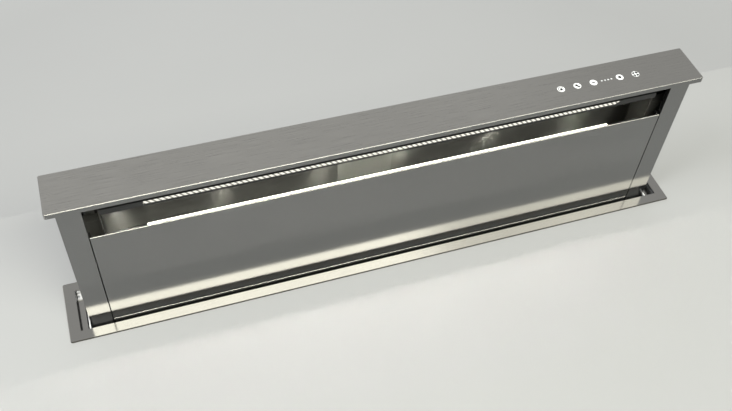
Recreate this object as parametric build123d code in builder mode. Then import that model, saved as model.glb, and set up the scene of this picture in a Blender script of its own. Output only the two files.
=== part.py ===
"""Downdraft vent for a worktop: a lifting extractor tower in an under-counter casing.

Frame: the origin is the centre of the worktop cut-out, on the worktop's surface.
+X runs along the vent, -Y faces the cook and +Z is up. The tower is drawn raised.
All lengths are in millimetres.
"""

import math
import os

from build123d import *

os.makedirs("parts", exist_ok=True)

# ------------------------------------------------------------------ driving sizes
# cap and worktop flange
cap_length = 900.0
cap_depth = 65.0
cap_height = 8.0
cap_corner = 2.0
cap_gap_end = 3.0
cap_gap_side = 2.0
flange_rim = 15.5
flange_thick = 2.0
flange_corner = 3.0
flange_bevel = 0.8
flange_overlap = 12.0
flange_rebate = 0.5

# lifting tower
travel = 250.0
cap_overhang_end = 11.5
cap_overhang_side = 8.5
sheet = 1.5
column_width = 30.0
column_lip = 6.0
panel_gap = 1.5
panel_fold = 10.0
panel_foot = 18.0
stiffener_drop = 47.0
intake_height = 62.0
side_cavity = 20.0
tower_below = 135.0
chamber_foot = 20.0

# touch keys on the cap
key_radius = 5.35
key_pitch = 25.0
key_end = 91.0
lamp_radius = 1.3
lamp_pitch = 5.0
lamp_gap = 13.0
key_count = 3
lamp_count = 4
board_thick = 1.6

# light bars
light_length = 669.0
light_width = 4.0
light_height = 3.5
lamp_box_height = 21.0
lamp_box_setback = 4.7
strip_setback = 15.0
strip_drop = 18.0

# grease filters
filter_count = 3
filter_thick = 8.0
filter_rim = 6.0
filter_slats = 9
filter_gap = 1.0
filter_seat = 5.0
filter_run = 20.0
rail_height = 12.0
filter_drop = 92.0

# casing
casing_wall = 1.2
casing_height = 620.0
casing_fold = 12.0
ledge_width = 12.0
ledge_leg = 14.0

# drive
rack_module = 2.0
pinion_teeth = 16
pinion_width = 9.0
rack_width = 11.0
rack_back = 7.5
gear_module = 1.5
drive_gear_teeth = 24
motor_gear_teeth = 16
gear_width = 12.0
shaft_radius = 5.0
shaft_above_foot = 30.0
beam_rise = 60.0
bush_wall = 3.0
bush_flange = 2.0
backlash = 0.12
running_fit = 0.05
motor_radius = 18.0
motor_length = 100.0
glide_gap = 0.1

# blower
impeller_radius = 92.0
impeller_width = 98.0
impeller_gap = 11.0
blade_count = 30
blade_depth = 16.0
blade_thick = 1.2
eye_radius = 68.0
scroll_gap = 20.0
scroll_step = 14.0
scroll_reach = 160.0
tongue_rise = 20.0
scroll_wall = 1.5
blower_x = -60.0
blower_below = 480.0
fan_shaft_radius = 5.0
fan_motor_radius = 44.0

# duct collar
collar_radius = 75.0
collar_wall = 1.5
collar_length = 85.0
flap_gap = 1.0
flap_thick = 1.0
flap_pin_radius = 1.5
knuckle_wall = 1.5

# limit switches
switch_inset = 155.3
switch_width = 20.0
switch_depth = 8.0
switch_height = 12.0
switch_gap = 0.3
plunger_radius = 1.2
plunger_height = 2.0
striker_width = 8.0
striker_height = 10.0
striker_rise = 6.0

# electronics box
box_inset = 31.5
box_drop = 190.0
box_width = 160.0
box_height = 160.0
box_depth = 44.0
box_wall = 2.0
gland_radius = 9.0
gland_bore = 4.0

# ------------------------------------------------------------------ derived places
cap_top = flange_thick + travel
cap_bottom = cap_top - cap_height
cap_under = cap_top - sheet
opening_x = cap_length / 2 + cap_gap_end
opening_y = cap_depth / 2 + cap_gap_side
flange_x = opening_x + flange_rim
flange_y = opening_y + flange_rim
casing_x = flange_x - flange_overlap
casing_y = flange_y - flange_overlap
inner_x = casing_x - casing_wall
inner_y = casing_y - casing_wall
tower_x = cap_length / 2 - cap_overhang_end
tower_y = cap_depth / 2 - cap_overhang_side
column_inner = tower_x - column_width
web_inner = tower_x - sheet
skin_y = tower_y - sheet
back_y = skin_y - sheet
panel_x = column_inner - panel_gap
panel_top = cap_bottom - intake_height
chamber_x = column_inner - side_cavity
lamp_box_bottom = cap_bottom - lamp_box_height
shaft_z = shaft_above_foot - tower_below
pinion_pitch = rack_module * pinion_teeth / 2
pinion_x = inner_x - rack_width / 2
gear_distance = gear_module * (drive_gear_teeth + motor_gear_teeth) / 2
motor_z = shaft_z + gear_distance
blower_z = -blower_below
switch_x = inner_x - switch_inset


def front_plane(y):
    """An upright plane at depth y whose normal points to the front."""
    return Plane.XZ.offset(-y)


def side_plane(x):
    """An upright plane at x whose normal points to +X."""
    return Plane.YZ.offset(x)


# ------------------------------------------------------------------ worktop flange
with BuildPart() as worktop_flange:
    with BuildSketch(Plane.XY):
        RectangleRounded(2 * flange_x, 2 * flange_y, flange_corner)
        Rectangle(2 * opening_x, 2 * opening_y, mode=Mode.SUBTRACT)
    extrude(amount=flange_thick)
    with BuildSketch(Plane.XY):
        Rectangle(2 * (casing_x + glide_gap), 2 * (casing_y + glide_gap))
    extrude(amount=flange_rebate, mode=Mode.SUBTRACT)
    rim_top = worktop_flange.faces().sort_by(Axis.Z)[-1].outer_wire().edges()
    chamfer(rim_top, flange_bevel)

worktop_flange.part.label = "worktop_flange"
export_step(worktop_flange.part, "parts/worktop_flange.step")

# ------------------------------------------------------------------ cap with its touch keys
last_key = cap_length / 2 - key_end
on_key = last_key - key_pitch
last_lamp = on_key - lamp_gap
first_lamp = last_lamp - lamp_pitch * (lamp_count - 1)
lamp_places = [first_lamp + lamp_pitch * n for n in range(lamp_count)]
first_key = first_lamp - lamp_gap - key_pitch * (key_count - 1)
key_places = [first_key + key_pitch * n for n in range(key_count)] + [on_key, last_key]
key_points = [(x, 0) for x in key_places]
lamp_points = [(x, 0) for x in lamp_places]
lens_fit = 0.05

with BuildPart() as cap:
    with BuildSketch(Plane.XY.offset(cap_bottom)):
        RectangleRounded(cap_length, cap_depth, cap_corner)
    extrude(amount=cap_height)
    chamfer(cap.faces().sort_by(Axis.Z)[-1].edges(), sheet / 3)
    with BuildSketch(Plane.XY.offset(cap_bottom)):
        Rectangle(cap_length - 2 * sheet, cap_depth - 2 * sheet)
    extrude(amount=cap_height - sheet, mode=Mode.SUBTRACT)
    with BuildSketch(Plane.XY.offset(cap_under)):
        with Locations(*key_points):
            Circle(key_radius + lens_fit)
        with Locations(*lamp_points):
            Circle(lamp_radius + lens_fit)
    extrude(amount=sheet, mode=Mode.SUBTRACT)

cap.part.label = "cap"
export_step(cap.part, "parts/cap.step")

lens_height = 4.0
board_top = cap_top - lens_height

with BuildPart() as key_lenses:
    with BuildSketch(Plane.XY.offset(board_top)):
        with Locations(*key_points):
            Circle(key_radius)
    extrude(amount=lens_height)

key_lenses.part.label = "key_lenses"
export_step(key_lenses.part, "parts/key_lenses.step")

with BuildPart() as level_lamps:
    with BuildSketch(Plane.XY.offset(board_top)):
        with Locations(*lamp_points):
            Circle(lamp_radius)
    extrude(amount=lens_height)

level_lamps.part.label = "level_lamps"
export_step(level_lamps.part, "parts/level_lamps.step")

board_margin = 12.0
board_length = key_places[-1] - key_places[0] + 2 * board_margin
board_centre = (key_places[-1] + key_places[0]) / 2
board_depth = 24.0
post_radius = 2.5
post_inset = 6.0
post_span_x = board_length - 2 * post_inset
post_span_y = board_depth - 2 * post_inset

with BuildPart() as touch_board:
    with BuildSketch(Plane.XY.offset(board_top - board_thick)):
        with Locations((board_centre, 0)):
            Rectangle(board_length, board_depth)
    extrude(amount=board_thick)
    with BuildSketch(Plane.XY.offset(board_top)):
        with Locations((board_centre, 0)):
            with GridLocations(post_span_x, post_span_y, 2, 2):
                Circle(post_radius)
    extrude(amount=cap_under - board_top)

touch_board.part.label = "touch_board"
export_step(touch_board.part, "parts/touch_board.step")

# ------------------------------------------------------------------ tower columns
bush_radius = shaft_radius + running_fit + bush_wall

for side, side_name in ((-1, "left"), (1, "right")):
    with BuildPart() as column:
        with BuildSketch(Plane.XY.offset(-tower_below)):
            with Locations((side * (column_inner + tower_x) / 2, 0)):
                Rectangle(column_width, 2 * tower_y)
            with Locations((side * (column_inner + web_inner) / 2, 0)):
                Rectangle(column_width - sheet, 2 * skin_y, mode=Mode.SUBTRACT)
            for depth in (-1, 1):
                with Locations((side * (column_inner + sheet / 2), depth * (skin_y - column_lip / 2))):
                    Rectangle(sheet, column_lip)
        extrude(amount=tower_below + cap_under)
        with BuildSketch(side_plane(side * web_inner)):
            with Locations((0, shaft_z)):
                Circle(bush_radius)
        extrude(amount=side * sheet, mode=Mode.SUBTRACT)
    column.part.label = f"column_{side_name}"
    export_step(column.part, f"parts/column_{side_name}.step")

# ------------------------------------------------------------------ back panel
beam_top = shaft_z + beam_rise
panel_back_x = column_inner - glide_gap

with BuildPart() as back_panel:
    with BuildSketch(front_plane(skin_y)):
        with Locations((0, (cap_under + beam_top) / 2)):
            Rectangle(2 * panel_back_x, cap_under - beam_top)
    extrude(amount=sheet)
    with BuildSketch(front_plane(back_y)):
        with Locations((0, beam_top + sheet / 2)):
            Rectangle(2 * panel_back_x, sheet)
    extrude(amount=casing_fold)

back_panel.part.label = "back_panel"
export_step(back_panel.part, "parts/back_panel.step")

# ------------------------------------------------------------------ air chamber behind the slot
chamber_front = skin_y - panel_fold / 2 - panel_gap

with BuildPart() as chamber_ends:
    for side in (-1, 1):
        with BuildSketch(side_plane(side * chamber_x)):
            with Locations(((back_y - chamber_front) / 2, (cap_under + chamber_foot) / 2)):
                Rectangle(back_y + chamber_front, cap_under - chamber_foot)
        extrude(amount=side * sheet)
        with BuildSketch(front_plane(back_y)):
            with Locations((side * (chamber_x + sheet + column_lip / 2), (cap_under + chamber_foot) / 2)):
                Rectangle(column_lip, cap_under - chamber_foot)
        extrude(amount=sheet)

chamber_ends.part.label = "chamber_ends"
export_step(chamber_ends.part, "parts/chamber_ends.step")

# folded brackets that tie each chamber end to its column, seen in the side cavities
bracket_top = panel_top - sheet
bracket_height = 34.0
bracket_front = 4.0
bracket_rear = skin_y - column_lip - glide_gap
cavity_inner = chamber_x + sheet

with BuildPart() as side_brackets:
    for side in (-1, 1):
        with BuildSketch(side_plane(side * cavity_inner)):
            with Locations(((bracket_front + bracket_rear) / 2, bracket_top - bracket_height / 2)):
                Rectangle(bracket_rear - bracket_front, bracket_height)
                Rectangle(
                    bracket_rear - bracket_front - 2 * sheet, bracket_height - 2 * sheet, mode=Mode.SUBTRACT
                )
        extrude(amount=side * (web_inner - cavity_inner))

side_brackets.part.label = "side_brackets"
export_step(side_brackets.part, "parts/side_brackets.step")

# ------------------------------------------------------------------ lamp box under the cap
lamp_front = tower_y - lamp_box_setback
lamp_depth = back_y + lamp_front
lamp_middle = (back_y - lamp_front) / 2

with BuildPart() as lamp_box:
    with BuildSketch(side_plane(-chamber_x)):
        with Locations((lamp_middle, (cap_under + lamp_box_bottom) / 2)):
            Rectangle(lamp_depth, cap_under - lamp_box_bottom)
        with Locations((lamp_middle, (cap_under + lamp_box_bottom + sheet) / 2)):
            Rectangle(lamp_depth - 2 * sheet, cap_under - lamp_box_bottom - sheet, mode=Mode.SUBTRACT)
    extrude(amount=2 * chamber_x)

lamp_box.part.label = "lamp_box"
export_step(lamp_box.part, "parts/lamp_box.step")

with BuildPart() as upper_light:
    with BuildSketch(side_plane(-light_length / 2)):
        with Locations((light_width / 2 - lamp_front - sheet, lamp_box_bottom - light_height / 2)):
            Rectangle(light_width, light_height)
    extrude(amount=light_length)
    fillet(upper_light.edges().filter_by(Axis.X).group_by(Axis.Z)[0], light_height / 3)

upper_light.part.label = "upper_light"
export_step(upper_light.part, "parts/upper_light.step")

lamp_strip_depth = 8.0

with BuildPart() as light_board:
    with BuildSketch(Plane.XY.offset(lamp_box_bottom + sheet)):
        with Locations((0, lamp_strip_depth / 2 - lamp_front + 2 * sheet)):
            Rectangle(light_length, lamp_strip_depth)
    extrude(amount=board_thick)

light_board.part.label = "light_board"
export_step(light_board.part, "parts/light_board.step")

# ------------------------------------------------------------------ filter frame and lower light strip
strip_y = strip_setback - tower_y
strip_z = panel_top - strip_drop
rail_top = strip_z - light_height / 2
rail_bottom = rail_top - rail_height
rail_front = -back_y + glide_gap
rail_back = strip_y + light_width

# the filters lean from the top rail's middle back to the lower rail
filter_top_y = (rail_front + rail_back) / 2
filter_length = math.hypot(filter_run, filter_drop)
filter_top_z = rail_bottom + filter_seat
filter_normal = (0, filter_drop / filter_length, filter_run / filter_length)
filter_mid_y = filter_top_y + filter_run / 2
filter_mid_z = filter_top_z - filter_drop / 2
low_rail_top = filter_mid_z - (filter_drop + filter_thick * filter_normal[2]) / 2 - glide_gap
low_rail_front = filter_top_y + filter_run - filter_thick

with BuildPart() as filter_frame:
    with BuildSketch(side_plane(-chamber_x)):
        with Locations((filter_top_y, (rail_top + rail_bottom) / 2)):
            Rectangle(rail_back - rail_front, rail_height)
        with Locations((filter_top_y, (rail_top + rail_bottom - sheet) / 2)):
            Rectangle(rail_back - rail_front - 2 * sheet, rail_height - sheet, mode=Mode.SUBTRACT)
    extrude(amount=2 * chamber_x)
    with BuildSketch(side_plane(-chamber_x)):
        with Locations(((low_rail_front + back_y) / 2, low_rail_top - sheet / 2)):
            Rectangle(back_y - low_rail_front, sheet)
        with Locations((back_y - sheet / 2, low_rail_top - rail_height / 2)):
            Rectangle(sheet, rail_height)
    extrude(amount=2 * chamber_x)

filter_frame.part.label = "filter_frame"
export_step(filter_frame.part, "parts/filter_frame.step")

with BuildPart() as lower_light:
    with BuildSketch(side_plane(-light_length / 2)):
        with Locations((strip_y + light_width / 2, strip_z)):
            Rectangle(light_width, light_height)
    extrude(amount=light_length)
    fillet(lower_light.edges().filter_by(Axis.X).group_by(Axis.Z)[-1], light_height / 3)

lower_light.part.label = "lower_light"
export_step(lower_light.part, "parts/lower_light.step")

filter_pitch = 2 * chamber_x / filter_count
filter_width = filter_pitch - filter_gap
slat_pitch = (filter_width - 2 * filter_rim) / filter_slats
slot_length = filter_length - 4 * filter_rim
filter_names = ["left", "middle", "right"]

for place, filter_name in enumerate(filter_names):
    filter_x = (place - (filter_count - 1) / 2) * filter_pitch
    filter_plane = Plane((filter_x, filter_mid_y, filter_mid_z), x_dir=(1, 0, 0), z_dir=filter_normal)
    with BuildPart() as grease_filter:
        with BuildSketch(filter_plane):
            Rectangle(filter_width, filter_length)
            Rectangle(filter_width - 2 * filter_rim, filter_length - 2 * filter_rim, mode=Mode.SUBTRACT)
        extrude(amount=filter_thick / 2, both=True)
        with BuildSketch(filter_plane):
            Rectangle(filter_width - 2 * filter_rim, filter_length - 2 * filter_rim)
            with GridLocations(slat_pitch, 0, filter_slats, 1):
                SlotOverall(slot_length, slat_pitch / 2, rotation=90, mode=Mode.SUBTRACT)
        extrude(amount=filter_thick / 4, both=True)
    grease_filter.part.label = f"grease_filter_{filter_name}"
    export_step(grease_filter.part, f"parts/grease_filter_{filter_name}.step")

# ------------------------------------------------------------------ front panel on its hooks
hook_gap = 4.0
hook_width = 10.0
hook_height = 16.0
hook_wall = 3.0
hook_drop = 26.0
hook_pitch = 124.0
pin_radius = 2.5
pin_setback = 12.0
pin_head = 1.5
hook_x = chamber_x + sheet + hook_gap
hook_levels = [panel_top - hook_drop, panel_top - hook_drop - hook_pitch]
pin_y = pin_setback - tower_y
hook_depth = pin_y + pin_radius + hook_wall + skin_y

with BuildPart() as front_panel:
    with BuildSketch(Plane.XY.offset(-panel_foot)):
        with Locations((0, panel_fold / 2 - tower_y)):
            Rectangle(2 * panel_x, panel_fold)
        with Locations((0, (panel_fold + sheet) / 2 - tower_y)):
            Rectangle(2 * (panel_x - sheet), panel_fold - sheet, mode=Mode.SUBTRACT)
    extrude(amount=panel_top + panel_foot)
    with BuildSketch(Plane.XY.offset(panel_top - stiffener_drop)):
        with Locations((0, panel_fold / 4 - skin_y)):
            Rectangle(2 * (panel_x - sheet), panel_fold / 2)
    extrude(amount=-sheet)
    top_edge = front_panel.edges().filter_by(Axis.X).filter_by_position(
        Axis.Z, panel_top - 0.01, panel_top + 0.01
    )
    chamfer(top_edge.sort_by(Axis.Y)[0], sheet / 3)
    for side in (-1, 1):
        for level in hook_levels:
            with BuildSketch(side_plane(side * hook_x)):
                with Locations((hook_depth / 2 - skin_y, level)):
                    Rectangle(hook_depth, hook_height)
                with Locations((pin_y, level)):
                    Circle(pin_radius + running_fit, mode=Mode.SUBTRACT)
                with Locations((pin_y, level - hook_height / 2)):
                    Rectangle(2 * (pin_radius + running_fit), hook_height, mode=Mode.SUBTRACT)
            extrude(amount=side * sheet)
            with BuildSketch(front_plane(-skin_y + sheet)):
                with Locations((side * (hook_x + hook_width / 2), level)):
                    Rectangle(hook_width, hook_height)
            extrude(amount=sheet)

front_panel.part.label = "front_panel"
export_step(front_panel.part, "parts/front_panel.step")

with BuildPart() as hook_pins:
    for side in (-1, 1):
        for level in hook_levels:
            with BuildSketch(side_plane(side * (chamber_x + sheet))):
                with Locations((pin_y, level)):
                    Circle(pin_radius)
            extrude(amount=side * (hook_x + 2 * sheet - chamber_x))
            with BuildSketch(side_plane(side * (hook_x + 2 * sheet + glide_gap))):
                with Locations((pin_y, level)):
                    Circle(pin_radius + pin_head)
            extrude(amount=side * sheet)

hook_pins.part.label = "hook_pins"
export_step(hook_pins.part, "parts/hook_pins.step")

# ------------------------------------------------------------------ lifting beam at the tower's foot
beam_flange = 15.0
striker_z = striker_rise - tower_below
striker_lap = 1.0
striker_y = inner_y - switch_depth / 2 + plunger_radius + striker_lap
beam_centre = (beam_top - tower_below) / 2

with BuildPart() as lifting_beam:
    with BuildSketch(side_plane(-web_inner)):
        with Locations(((back_y + skin_y) / 2, beam_centre)):
            Rectangle(sheet, beam_top + tower_below)
        with Locations((skin_y - beam_flange / 2, sheet / 2 - tower_below)):
            Rectangle(beam_flange, sheet)
    extrude(amount=2 * web_inner)
    with BuildSketch(front_plane(skin_y)):
        with Locations((-column_inner / 2, beam_centre), (column_inner / 2, beam_centre)):
            SlotOverall(column_inner / 2, (beam_top + tower_below) / 3)
    extrude(amount=sheet, mode=Mode.SUBTRACT)
    for side in (-1, 1):
        with BuildSketch(side_plane(side * column_inner)):
            with Locations((skin_y - column_lip / 2, beam_centre)):
                Rectangle(column_lip + glide_gap, beam_top + tower_below + glide_gap)
        extrude(amount=side * sheet, mode=Mode.SUBTRACT)
    with BuildSketch(side_plane(switch_x - striker_width / 2)):
        with Locations(((skin_y + striker_y) / 2, striker_z + striker_height / 2)):
            Rectangle(striker_y - skin_y, striker_height)
    extrude(amount=striker_width)

lifting_beam.part.label = "lifting_beam"
export_step(lifting_beam.part, "parts/lifting_beam.step")

# ------------------------------------------------------------------ motor bracket and bushes
gear_x = 12.0
bracket_margin = 4.0
bracket_sheet = 2.0
nose_radius = 7.0
bracket_x = gear_x + gear_width / 2 + bracket_margin
bracket_foot = sheet - tower_below
bracket_head = motor_z + motor_radius + bracket_margin
bracket_depth = motor_radius + bracket_sheet

with BuildPart() as motor_bracket:
    with BuildSketch(side_plane(bracket_x)):
        with Locations(((back_y - bracket_depth) / 2, (bracket_head + bracket_foot) / 2)):
            Rectangle(back_y + bracket_depth, bracket_head - bracket_foot)
        with Locations((0, shaft_z)):
            Circle(bush_radius, mode=Mode.SUBTRACT)
        with Locations((0, motor_z)):
            Circle(nose_radius, mode=Mode.SUBTRACT)
    extrude(amount=bracket_sheet)
    with BuildSketch(front_plane(back_y)):
        with Locations((bracket_x + bracket_depth / 2, (beam_top + bracket_foot) / 2)):
            Rectangle(bracket_depth, beam_top - bracket_foot)
    extrude(amount=bracket_sheet)

motor_bracket.part.label = "motor_bracket"
export_step(motor_bracket.part, "parts/motor_bracket.step")

bush_head = bush_radius + bush_wall
bush_bore = shaft_radius + running_fit

with BuildPart() as shaft_bushes:
    for start, wall in ((web_inner, sheet), (-web_inner, -sheet), (bracket_x, bracket_sheet)):
        way = math.copysign(1, wall)
        with BuildSketch(side_plane(start)):
            with Locations((0, shaft_z)):
                Circle(bush_radius)
                Circle(bush_bore, mode=Mode.SUBTRACT)
        extrude(amount=wall)
        with BuildSketch(side_plane(start)):
            with Locations((0, shaft_z)):
                Circle(bush_head)
                Circle(bush_bore, mode=Mode.SUBTRACT)
        extrude(amount=-way * bush_flange)

shaft_bushes.part.label = "shaft_bushes"
export_step(shaft_bushes.part, "parts/shaft_bushes.step")

# ------------------------------------------------------------------ gears, rack and shaft
pressure_angle = math.radians(20)
addendum = 0.9
dedendum = 1.25


def gear_outline(module, teeth, phase, centre_z):
    """Points round a spur gear with involute flanks, one tooth centred on the phase angle."""
    pitch_radius = module * teeth / 2
    base_radius = pitch_radius * math.cos(pressure_angle)
    root_radius = pitch_radius - dedendum * module
    tip_radius = pitch_radius + addendum * module
    pitch_half = (math.pi * module / 2 - backlash) / (2 * pitch_radius)
    involute_pitch = math.tan(pressure_angle) - pressure_angle
    flank = [(root_radius, pitch_half + involute_pitch)]
    for radius in (base_radius, (base_radius + pitch_radius) / 2, pitch_radius, tip_radius):
        angle = math.acos(base_radius / radius)
        flank.append((radius, pitch_half + involute_pitch - math.tan(angle) + angle))
    points = []
    for tooth in range(teeth):
        centre = phase + 2 * math.pi * tooth / teeth
        rising = [(r, centre - a) for r, a in flank]
        falling = [(r, centre + a) for r, a in reversed(flank)]
        points += [(r * math.cos(a), centre_z + r * math.sin(a)) for r, a in rising + falling]
    return points


def rack_outline(module, teeth, pitch_y, back, first_z):
    """Points round an upright rack whose teeth face -Y, from its top tooth downwards."""
    pitch = math.pi * module
    slope = math.tan(pressure_angle)
    tip_y = pitch_y - addendum * module
    root_y = pitch_y + dedendum * module
    tip_half = (pitch / 2 - backlash) / 2 - addendum * module * slope
    root_half = (pitch / 2 - backlash) / 2 + dedendum * module * slope
    points = [(back, first_z + pitch / 2), (root_y, first_z + pitch / 2)]
    for tooth in range(teeth):
        z = first_z - tooth * pitch
        points += [(root_y, z + root_half), (tip_y, z + tip_half)]
        points += [(tip_y, z - tip_half), (root_y, z - root_half)]
    last_z = first_z - (teeth - 1) * pitch
    points += [(root_y, last_z - pitch / 2), (back, last_z - pitch / 2)]
    return points


rack_pitch = math.pi * rack_module
lead_teeth = 3
rack_teeth = math.ceil((travel + 2 * pinion_pitch) / rack_pitch) + lead_teeth
rack_first = shaft_z + rack_pitch / 2 + lead_teeth * rack_pitch
rack_rear = pinion_pitch + dedendum * rack_module + rack_back
rack_points = rack_outline(rack_module, rack_teeth, pinion_pitch, rack_rear, rack_first)

with BuildPart() as gear_racks:
    for side in (-1, 1):
        with BuildSketch(side_plane(side * inner_x)):
            with BuildLine():
                Polyline(*rack_points, close=True)
            make_face()
        extrude(amount=-side * rack_width)

gear_racks.part.label = "gear_racks"
export_step(gear_racks.part, "parts/gear_racks.step")

with BuildPart() as rack_pinions:
    for side in (-1, 1):
        with BuildSketch(side_plane(side * pinion_x - pinion_width / 2)):
            with BuildLine():
                Polyline(*gear_outline(rack_module, pinion_teeth, 0, shaft_z), close=True)
            make_face()
            with Locations((0, shaft_z)):
                Circle(shaft_radius, mode=Mode.SUBTRACT)
        extrude(amount=pinion_width)

rack_pinions.part.label = "rack_pinions"
export_step(rack_pinions.part, "parts/rack_pinions.step")

with BuildPart() as drive_shaft:
    with BuildSketch(side_plane(-pinion_x - pinion_width / 2)):
        with Locations((0, shaft_z)):
            Circle(shaft_radius)
    extrude(amount=2 * pinion_x + pinion_width)

drive_shaft.part.label = "drive_shaft"
export_step(drive_shaft.part, "parts/drive_shaft.step")

hub_wall = 4.0
hub_radius = shaft_radius + hub_wall
hub_length = 6.0

with BuildPart() as drive_gear:
    with BuildSketch(side_plane(gear_x - gear_width / 2)):
        with BuildLine():
            Polyline(*gear_outline(gear_module, drive_gear_teeth, 0, shaft_z), close=True)
        make_face()
    extrude(amount=gear_width)
    with BuildSketch(side_plane(gear_x - gear_width / 2)):
        with Locations((0, shaft_z)):
            Circle(hub_radius)
    extrude(amount=-hub_length)
    with BuildSketch(side_plane(gear_x - gear_width / 2 - hub_length)):
        with Locations((0, shaft_z)):
            Circle(shaft_radius)
    extrude(amount=gear_width + hub_length, mode=Mode.SUBTRACT)

drive_gear.part.label = "drive_gear"
export_step(drive_gear.part, "parts/drive_gear.step")

motor_shaft_radius = 3.0
motor_phase = math.pi / motor_gear_teeth

with BuildPart() as motor_gear:
    with BuildSketch(side_plane(gear_x - gear_width / 2)):
        with BuildLine():
            Polyline(*gear_outline(gear_module, motor_gear_teeth, motor_phase, motor_z), close=True)
        make_face()
    extrude(amount=gear_width)
    with BuildSketch(side_plane(gear_x + gear_width / 2)):
        with Locations((0, motor_z)):
            Circle(motor_shaft_radius)
    extrude(amount=bracket_x + bracket_sheet + hub_length - gear_x - gear_width / 2)

motor_gear.part.label = "motor_gear"
export_step(motor_gear.part, "parts/motor_gear.step")

gearhead_length = 34.0
motor_step = 1.5
motor_start = bracket_x + bracket_sheet

with BuildPart() as lift_motor:
    with BuildSketch(side_plane(motor_start)):
        with Locations((0, motor_z)):
            Circle(motor_radius)
    extrude(amount=gearhead_length)
    with BuildSketch(side_plane(motor_start + gearhead_length)):
        with Locations((0, motor_z)):
            Circle(motor_radius - motor_step)
    extrude(amount=motor_length - gearhead_length)
    with BuildSketch(side_plane(motor_start + motor_length)):
        with Locations((0, motor_z)):
            Circle(motor_radius / 2)
    extrude(amount=hub_length)
    with BuildSketch(side_plane(bracket_x)):
        with Locations((0, motor_z)):
            Circle(nose_radius - running_fit)
    extrude(amount=bracket_sheet)
    with BuildSketch(side_plane(bracket_x)):
        with Locations((0, motor_z)):
            Circle(motor_shaft_radius + running_fit)
    extrude(amount=bracket_sheet + 2 * hub_length, mode=Mode.SUBTRACT)

lift_motor.part.label = "lift_motor"
export_step(lift_motor.part, "parts/lift_motor.step")

# ------------------------------------------------------------------ guide rails and glide shoes
shoe_thick = 1.5
shoe_width = 26.0
shoe_height = 30.0
shoe_drop = 43.0
shoe_rise = 20.0
pinion_clear = 2.5
guide_spare = 140.0
shoe_levels = [-shoe_drop, shoe_rise - tower_below]
rail_face = tower_x + shoe_thick + glide_gap
fold_y = inner_y - casing_wall
rail_y = (glide_gap - fold_y, -pinion_pitch - rack_module - pinion_clear)
ledge_drop = 2.2
ledge_top = cap_bottom - travel - ledge_drop
guide_top = ledge_top - sheet - glide_gap
guide_length = travel + guide_spare
shoe_back = inner_y - glide_gap

with BuildPart() as glide_shoes:
    for side in (-1, 1):
        for level in shoe_levels:
            with BuildSketch(Plane.XY.offset(level - shoe_height / 2)):
                for depth in (-1, 1):
                    with Locations((side * (tower_x - shoe_width / 2), depth * (tower_y + shoe_back) / 2)):
                        Rectangle(shoe_width, shoe_back - tower_y)
                with Locations((side * (tower_x + shoe_thick / 2), (rail_y[1] - shoe_back) / 2)):
                    Rectangle(shoe_thick, shoe_back + rail_y[1])
            extrude(amount=shoe_height)

glide_shoes.part.label = "glide_shoes"
export_step(glide_shoes.part, "parts/glide_shoes.step")

with BuildPart() as guide_rails:
    for side in (-1, 1):
        with BuildSketch(Plane.XY.offset(guide_top - guide_length)):
            with Locations((side * (rail_face + inner_x) / 2, (rail_y[0] + rail_y[1]) / 2)):
                Rectangle(inner_x - rail_face, rail_y[1] - rail_y[0])
            with Locations((side * (rail_face + sheet + inner_x) / 2, (rail_y[0] + rail_y[1]) / 2)):
                Rectangle(inner_x - rail_face - sheet, rail_y[1] - rail_y[0] - 2 * sheet, mode=Mode.SUBTRACT)
        extrude(amount=guide_length)

guide_rails.part.label = "guide_rails"
export_step(guide_rails.part, "parts/guide_rails.step")

# ------------------------------------------------------------------ end ledges that the cap rests on
pad_depth = 11.0
pad_thick = 2.0
pad_screw_radius = 2.0
pad_screw_length = 7.0
pad_screw_sink = 0.3
leg_width = 20.0

with BuildPart() as end_ledges:
    for side in (-1, 1):
        with BuildSketch(Plane.XY.offset(ledge_top - sheet)):
            with Locations((side * (inner_x - ledge_width / 2), 0)):
                Rectangle(ledge_width, 2 * opening_y)
            with Locations((side * (inner_x - ledge_width / 2), opening_y - pad_depth / 2)):
                Circle(pad_screw_radius, mode=Mode.SUBTRACT)
        extrude(amount=sheet)
        with BuildSketch(side_plane(side * inner_x)):
            with Locations((0, ledge_top - sheet - ledge_leg / 2)):
                Rectangle(leg_width, ledge_leg)
        extrude(amount=-side * sheet)

end_ledges.part.label = "end_ledges"
export_step(end_ledges.part, "parts/end_ledges.step")

with BuildPart() as cap_pads:
    for side in (-1, 1):
        with BuildSketch(Plane.XY.offset(ledge_top)):
            with Locations((side * (inner_x - ledge_width / 2), opening_y - pad_depth / 2)):
                Rectangle(ledge_width - casing_wall, pad_depth)
                Circle(pad_screw_radius, mode=Mode.SUBTRACT)
        extrude(amount=pad_thick)

cap_pads.part.label = "cap_pads"
export_step(cap_pads.part, "parts/cap_pads.step")

# ------------------------------------------------------------------ casing shell
rib_width = 14.0
rib_rise = 2.0
rib_count = 5
rib_pitch = 160.0
rib_margin = 70.0
rib_slope = 30.0
front_rib_count = 3
front_rib_pitch = 80.0
front_rib_height = 210.0
front_rib_inset = 176.5
front_rib_x = casing_x - front_rib_inset
front_rib_z = -rib_margin - front_rib_height / 2
inlet_margin = 8.0
inlet_radius = eye_radius + inlet_margin
floor_lip = 12.0
wall_height = casing_height + flange_rebate
wall_middle = (flange_rebate - casing_height) / 2

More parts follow.
